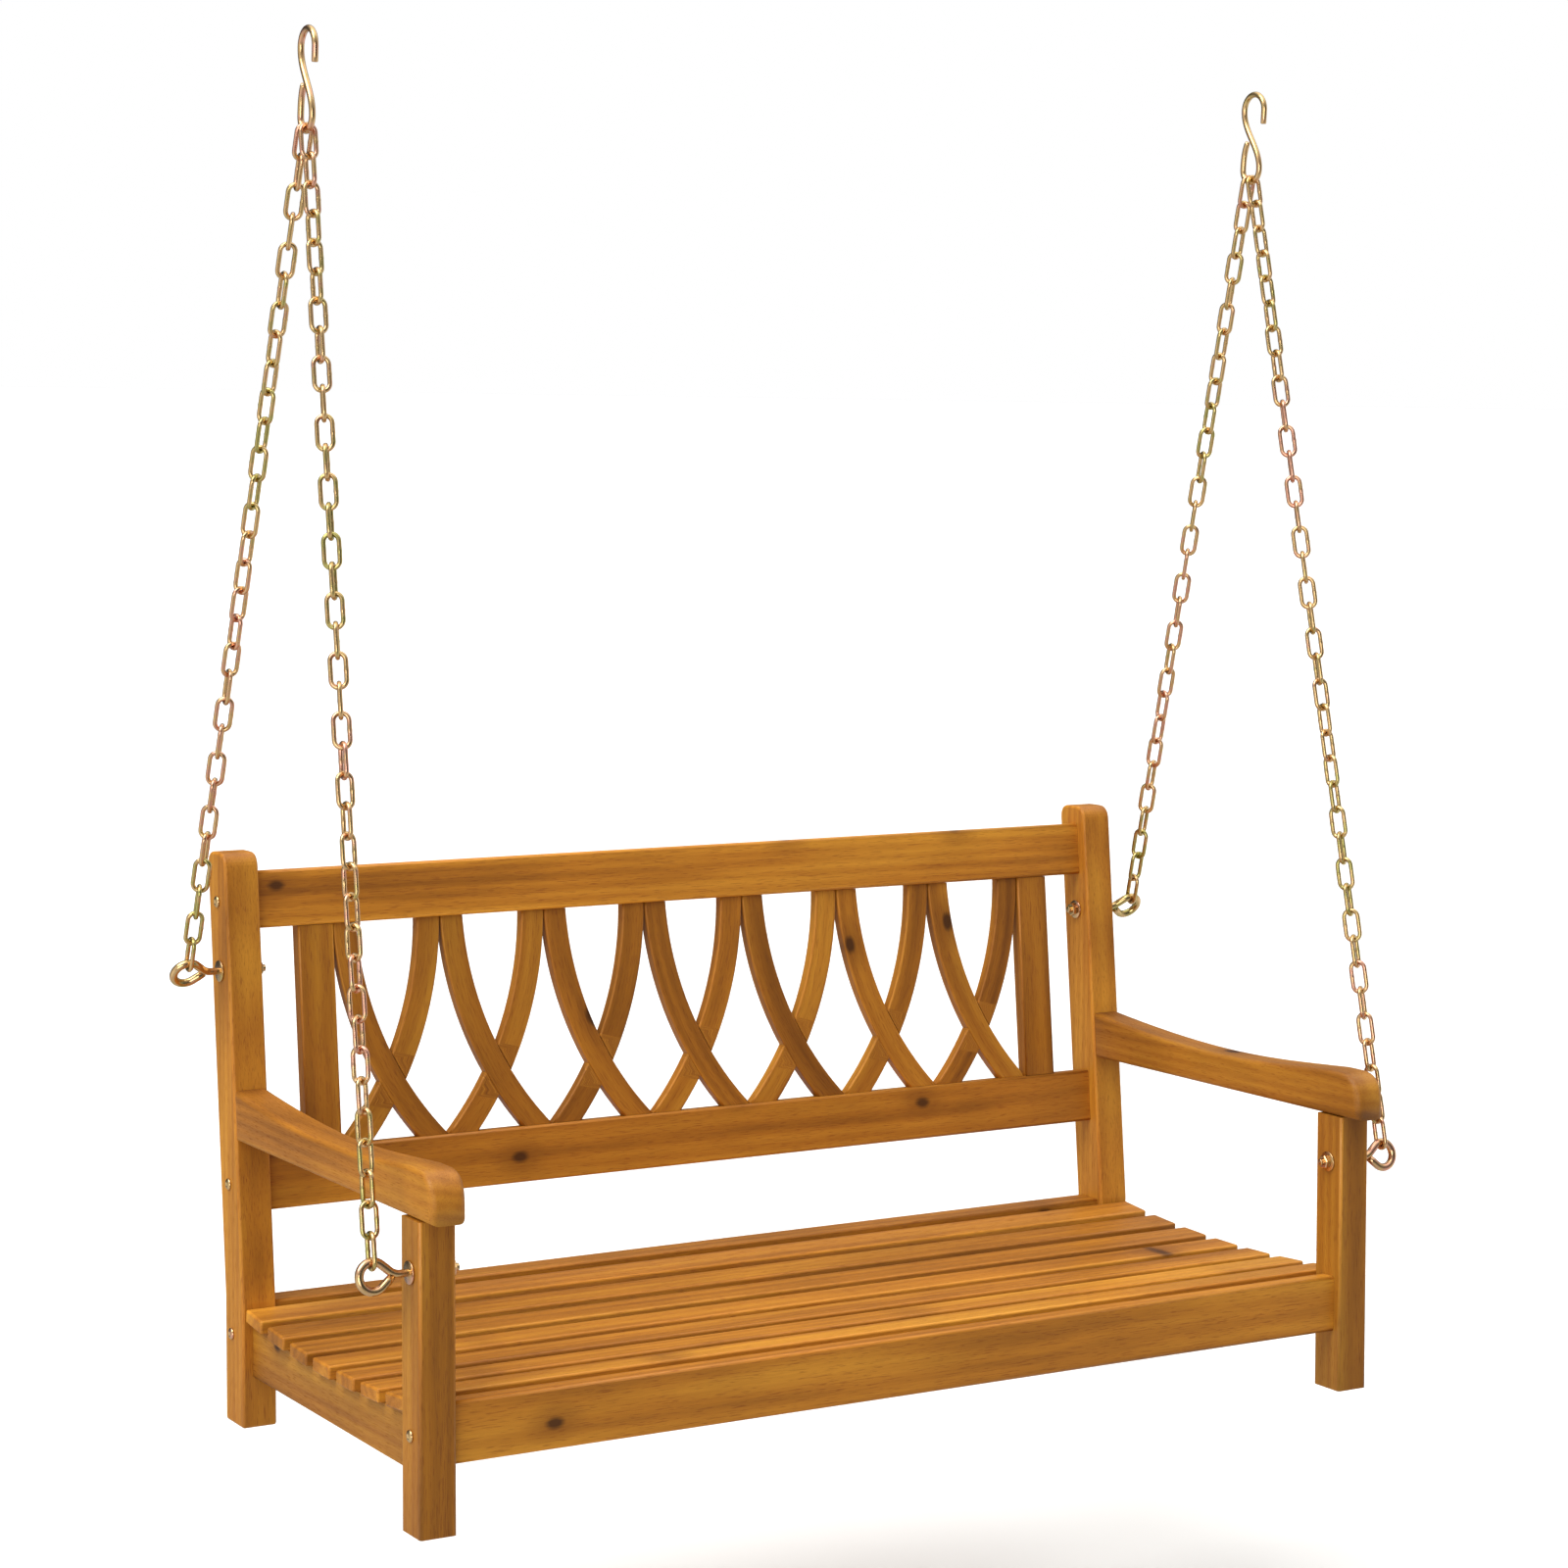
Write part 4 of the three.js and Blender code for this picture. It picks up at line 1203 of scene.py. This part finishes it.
class SWING_OT_bolts(Operator):
    """Add the bolt heads on the outer faces of the legs and posts"""
    bl_idname = "swing.bolts"
    bl_label = "Bolt heads"

    def execute(self, context):
        chance = random.Random("bolts")
        rail_middle = TOP_RAIL_BOTTOM + RAIL_HEIGHT / 2
        low_rail_middle = LOWER_RAIL_BOTTOM + RAIL_HEIGHT / 2
        seat_middle = APRON_BOTTOM + RAIL_HEIGHT / 2
        places = (("leg", LEG_DEPTH / 2, seat_middle),
                  ("post_foot", POST_MIDDLE + FOOT_BOLT_SETBACK, seat_middle),
                  ("post_low", post_middle_at(low_rail_middle), low_rail_middle),
                  ("post_top", post_middle_at(rail_middle), rail_middle))
        for name, y, z in places:
            for side, sign in SIDES:
                place = Matrix.Translation((sign * HALF_WIDTH, y, z)) @ facing(sign)
                bm = turned(bolt_head_mesh(chance.uniform(-0.3, 0.3)), place)
                add_steel(f"bolt_{name}_{side}", bm)
        return {"FINISHED"}


# ---- camera and stage

CAMERA_PLACE = Vector((-2019.4, -3160.6, 1055.7))
CAMERA_YAW = math.radians(30.14)
CAMERA_DIP = math.radians(3.38)
CAMERA_ROLL = math.radians(0.115)
CAMERA_SHIFT = -0.0625


class SWING_OT_camera(Operator):
    """Add the camera, to the left of the bench and a little above its back"""
    bl_idname = "swing.camera"
    bl_label = "Camera"

    def execute(self, context):
        data = bpy.data.cameras.new("camera")
        data.lens = context.scene.swing_stage.lens
        data.shift_y = CAMERA_SHIFT
        data.clip_end = 100
        camera = bpy.data.objects.new("camera", data)
        context.scene.collection.objects.link(camera)
        aim = (Matrix.Rotation(-CAMERA_YAW, 3, "Z")
               @ Matrix.Rotation(math.radians(90) - CAMERA_DIP, 3, "X")
               @ Matrix.Rotation(CAMERA_ROLL, 3, "Z"))
        rotation = BENCH.to_3x3().normalized() @ aim
        camera.matrix_world = Matrix.Translation(BENCH @ CAMERA_PLACE) @ rotation.to_4x4()
        context.scene.camera = camera
        return {"FINISHED"}


# What lights the swing from all round: from overhead, from below, from the two sides, and evenly.
OVERHEAD_LIGHT = 0.90
BELOW_LIGHT = 0.60
SIDE_LIGHT = 0.95
EVEN_LIGHT = 0.06
# Name, azimuth and elevation that it comes from, strength, and width, with the angles in degrees.
# The key is high on the left, the fill high behind on the right, and the third lights the fronts.
LIGHTS = (("key", -80, 56, 2.15, 45), ("fill", 120, 72, 0.9, 80), ("front", -35, 3, 1.0, 35))
FLOOR_HALF = 30.0


class SWING_OT_stage(Operator):
    """Add a pale floor, a white surround and three soft lights"""
    bl_idname = "swing.stage"
    bl_label = "Floor and lights"

    def execute(self, context):
        self.add_floor(context)
        self.add_surround(context)
        self.add_lights(context)
        context.scene.view_settings.view_transform = "Standard"
        return {"FINISHED"}

    def add_floor(self, context):
        height = CAD_BOX[0].z - context.scene.swing_stage.drop
        bm = bmesh.new()
        bm.faces.new([bm.verts.new((x, y, height))
                      for x, y in rectangle(2 * FLOOR_HALF, 2 * FLOOR_HALF)])
        mesh = bpy.data.meshes.new("floor")
        bm.to_mesh(mesh)
        bm.free()
        mesh.materials.append(material_named(PAINT))
        floor = bpy.data.objects.new("floor", mesh)
        # The floor takes shadows but throws no light back: the surround lights the undersides.
        floor.visible_diffuse = False
        floor.visible_glossy = False
        context.scene.collection.objects.link(floor)

    def add_surround(self, context):
        """White behind the swing. What lights it is uneven, so that round metal shows form."""
        world = bpy.data.worlds.new("studio")
        world.use_nodes = True
        tree = world.node_tree
        tree.nodes.clear()
        direction = add_node(tree, "ShaderNodeTexCoord").outputs["Generated"]
        axis = add_node(tree, "ShaderNodeSeparateXYZ", None, {0: direction}).outputs
        overhead = spread(tree, axis["Z"], 0.35, 0.95, 0.0, OVERHEAD_LIGHT)
        side = combine(tree, "POWER", combine(tree, "ABSOLUTE", axis["X"], 0.0), 4.0)
        below = spread(tree, axis["Z"], -0.05, -0.60, 0.0, BELOW_LIGHT)
        level = combine(tree, "ADD", combine(tree, "ADD", overhead, below),
                        scaled(tree, side, SIDE_LIGHT, EVEN_LIGHT))
        soft, white = (add_node(tree, "ShaderNodeBackground", None,
                                {"Color": (1.0, 1.0, 1.0, 1.0), "Strength": strength})
                       for strength in (level, 1.0))
        seen = add_node(tree, "ShaderNodeLightPath").outputs["Is Camera Ray"]
        mixed = add_node(tree, "ShaderNodeMixShader", None,
                         {0: seen, 1: soft.outputs[0], 2: white.outputs[0]})
        add_node(tree, "ShaderNodeOutputWorld", None, {"Surface": mixed.outputs[0]})
        context.scene.world = world

    def add_lights(self, context):
        for name, azimuth, elevation, strength, width in LIGHTS:
            data = bpy.data.lights.new(name, "SUN")
            data.energy = strength
            data.angle = math.radians(width)
            light = bpy.data.objects.new(name, data)
            light.rotation_euler = (math.radians(90 - elevation), 0, math.radians(azimuth))
            context.scene.collection.objects.link(light)


# ---- panel and registration

class SWING_PT_panel(Panel):
    """The steps that build the swing, in order"""
    bl_idname = "SWING_PT_panel"
    bl_label = "Porch swing"
    bl_space_type = "VIEW_3D"
    bl_region_type = "UI"
    bl_category = "Porch swing"

    def draw(self, context):
        for settings in ("swing_wood", "swing_steel", "swing_stage"):
            group = getattr(context.scene, settings)
            box = self.layout.box()
            for name in group.bl_rna.properties.keys():
                if name not in ("rna_type", "name"):
                    box.prop(group, name)
        for operator in STEPS:
            self.layout.operator(operator.bl_idname)


STEPS = (SWING_OT_camera, SWING_OT_frame, SWING_OT_seat, SWING_OT_back, SWING_OT_eye_bolts,
         SWING_OT_chains, SWING_OT_hooks, SWING_OT_bolts, SWING_OT_stage)
SETTINGS = (("swing_wood", SwingWoodSettings), ("swing_steel", SwingSteelSettings),
            ("swing_stage", SwingStageSettings))


def register():
    for name, settings in SETTINGS:
        bpy.utils.register_class(settings)
        setattr(bpy.types.Scene, name, PointerProperty(type=settings))
    for step in STEPS:
        bpy.utils.register_class(step)
    bpy.utils.register_class(SWING_PT_panel)


def unregister():
    bpy.utils.unregister_class(SWING_PT_panel)
    for step in reversed(STEPS):
        bpy.utils.unregister_class(step)
    for name, settings in reversed(SETTINGS):
        delattr(bpy.types.Scene, name)
        bpy.utils.unregister_class(settings)


def main():
    register()
    for step in STEPS:
        group, name = step.bl_idname.split(".")
        result = getattr(getattr(bpy.ops, group), name)()
        if "FINISHED" not in result:
            raise RuntimeError(f"{step.bl_label} was not built")


if __name__ == "__main__":
    main()
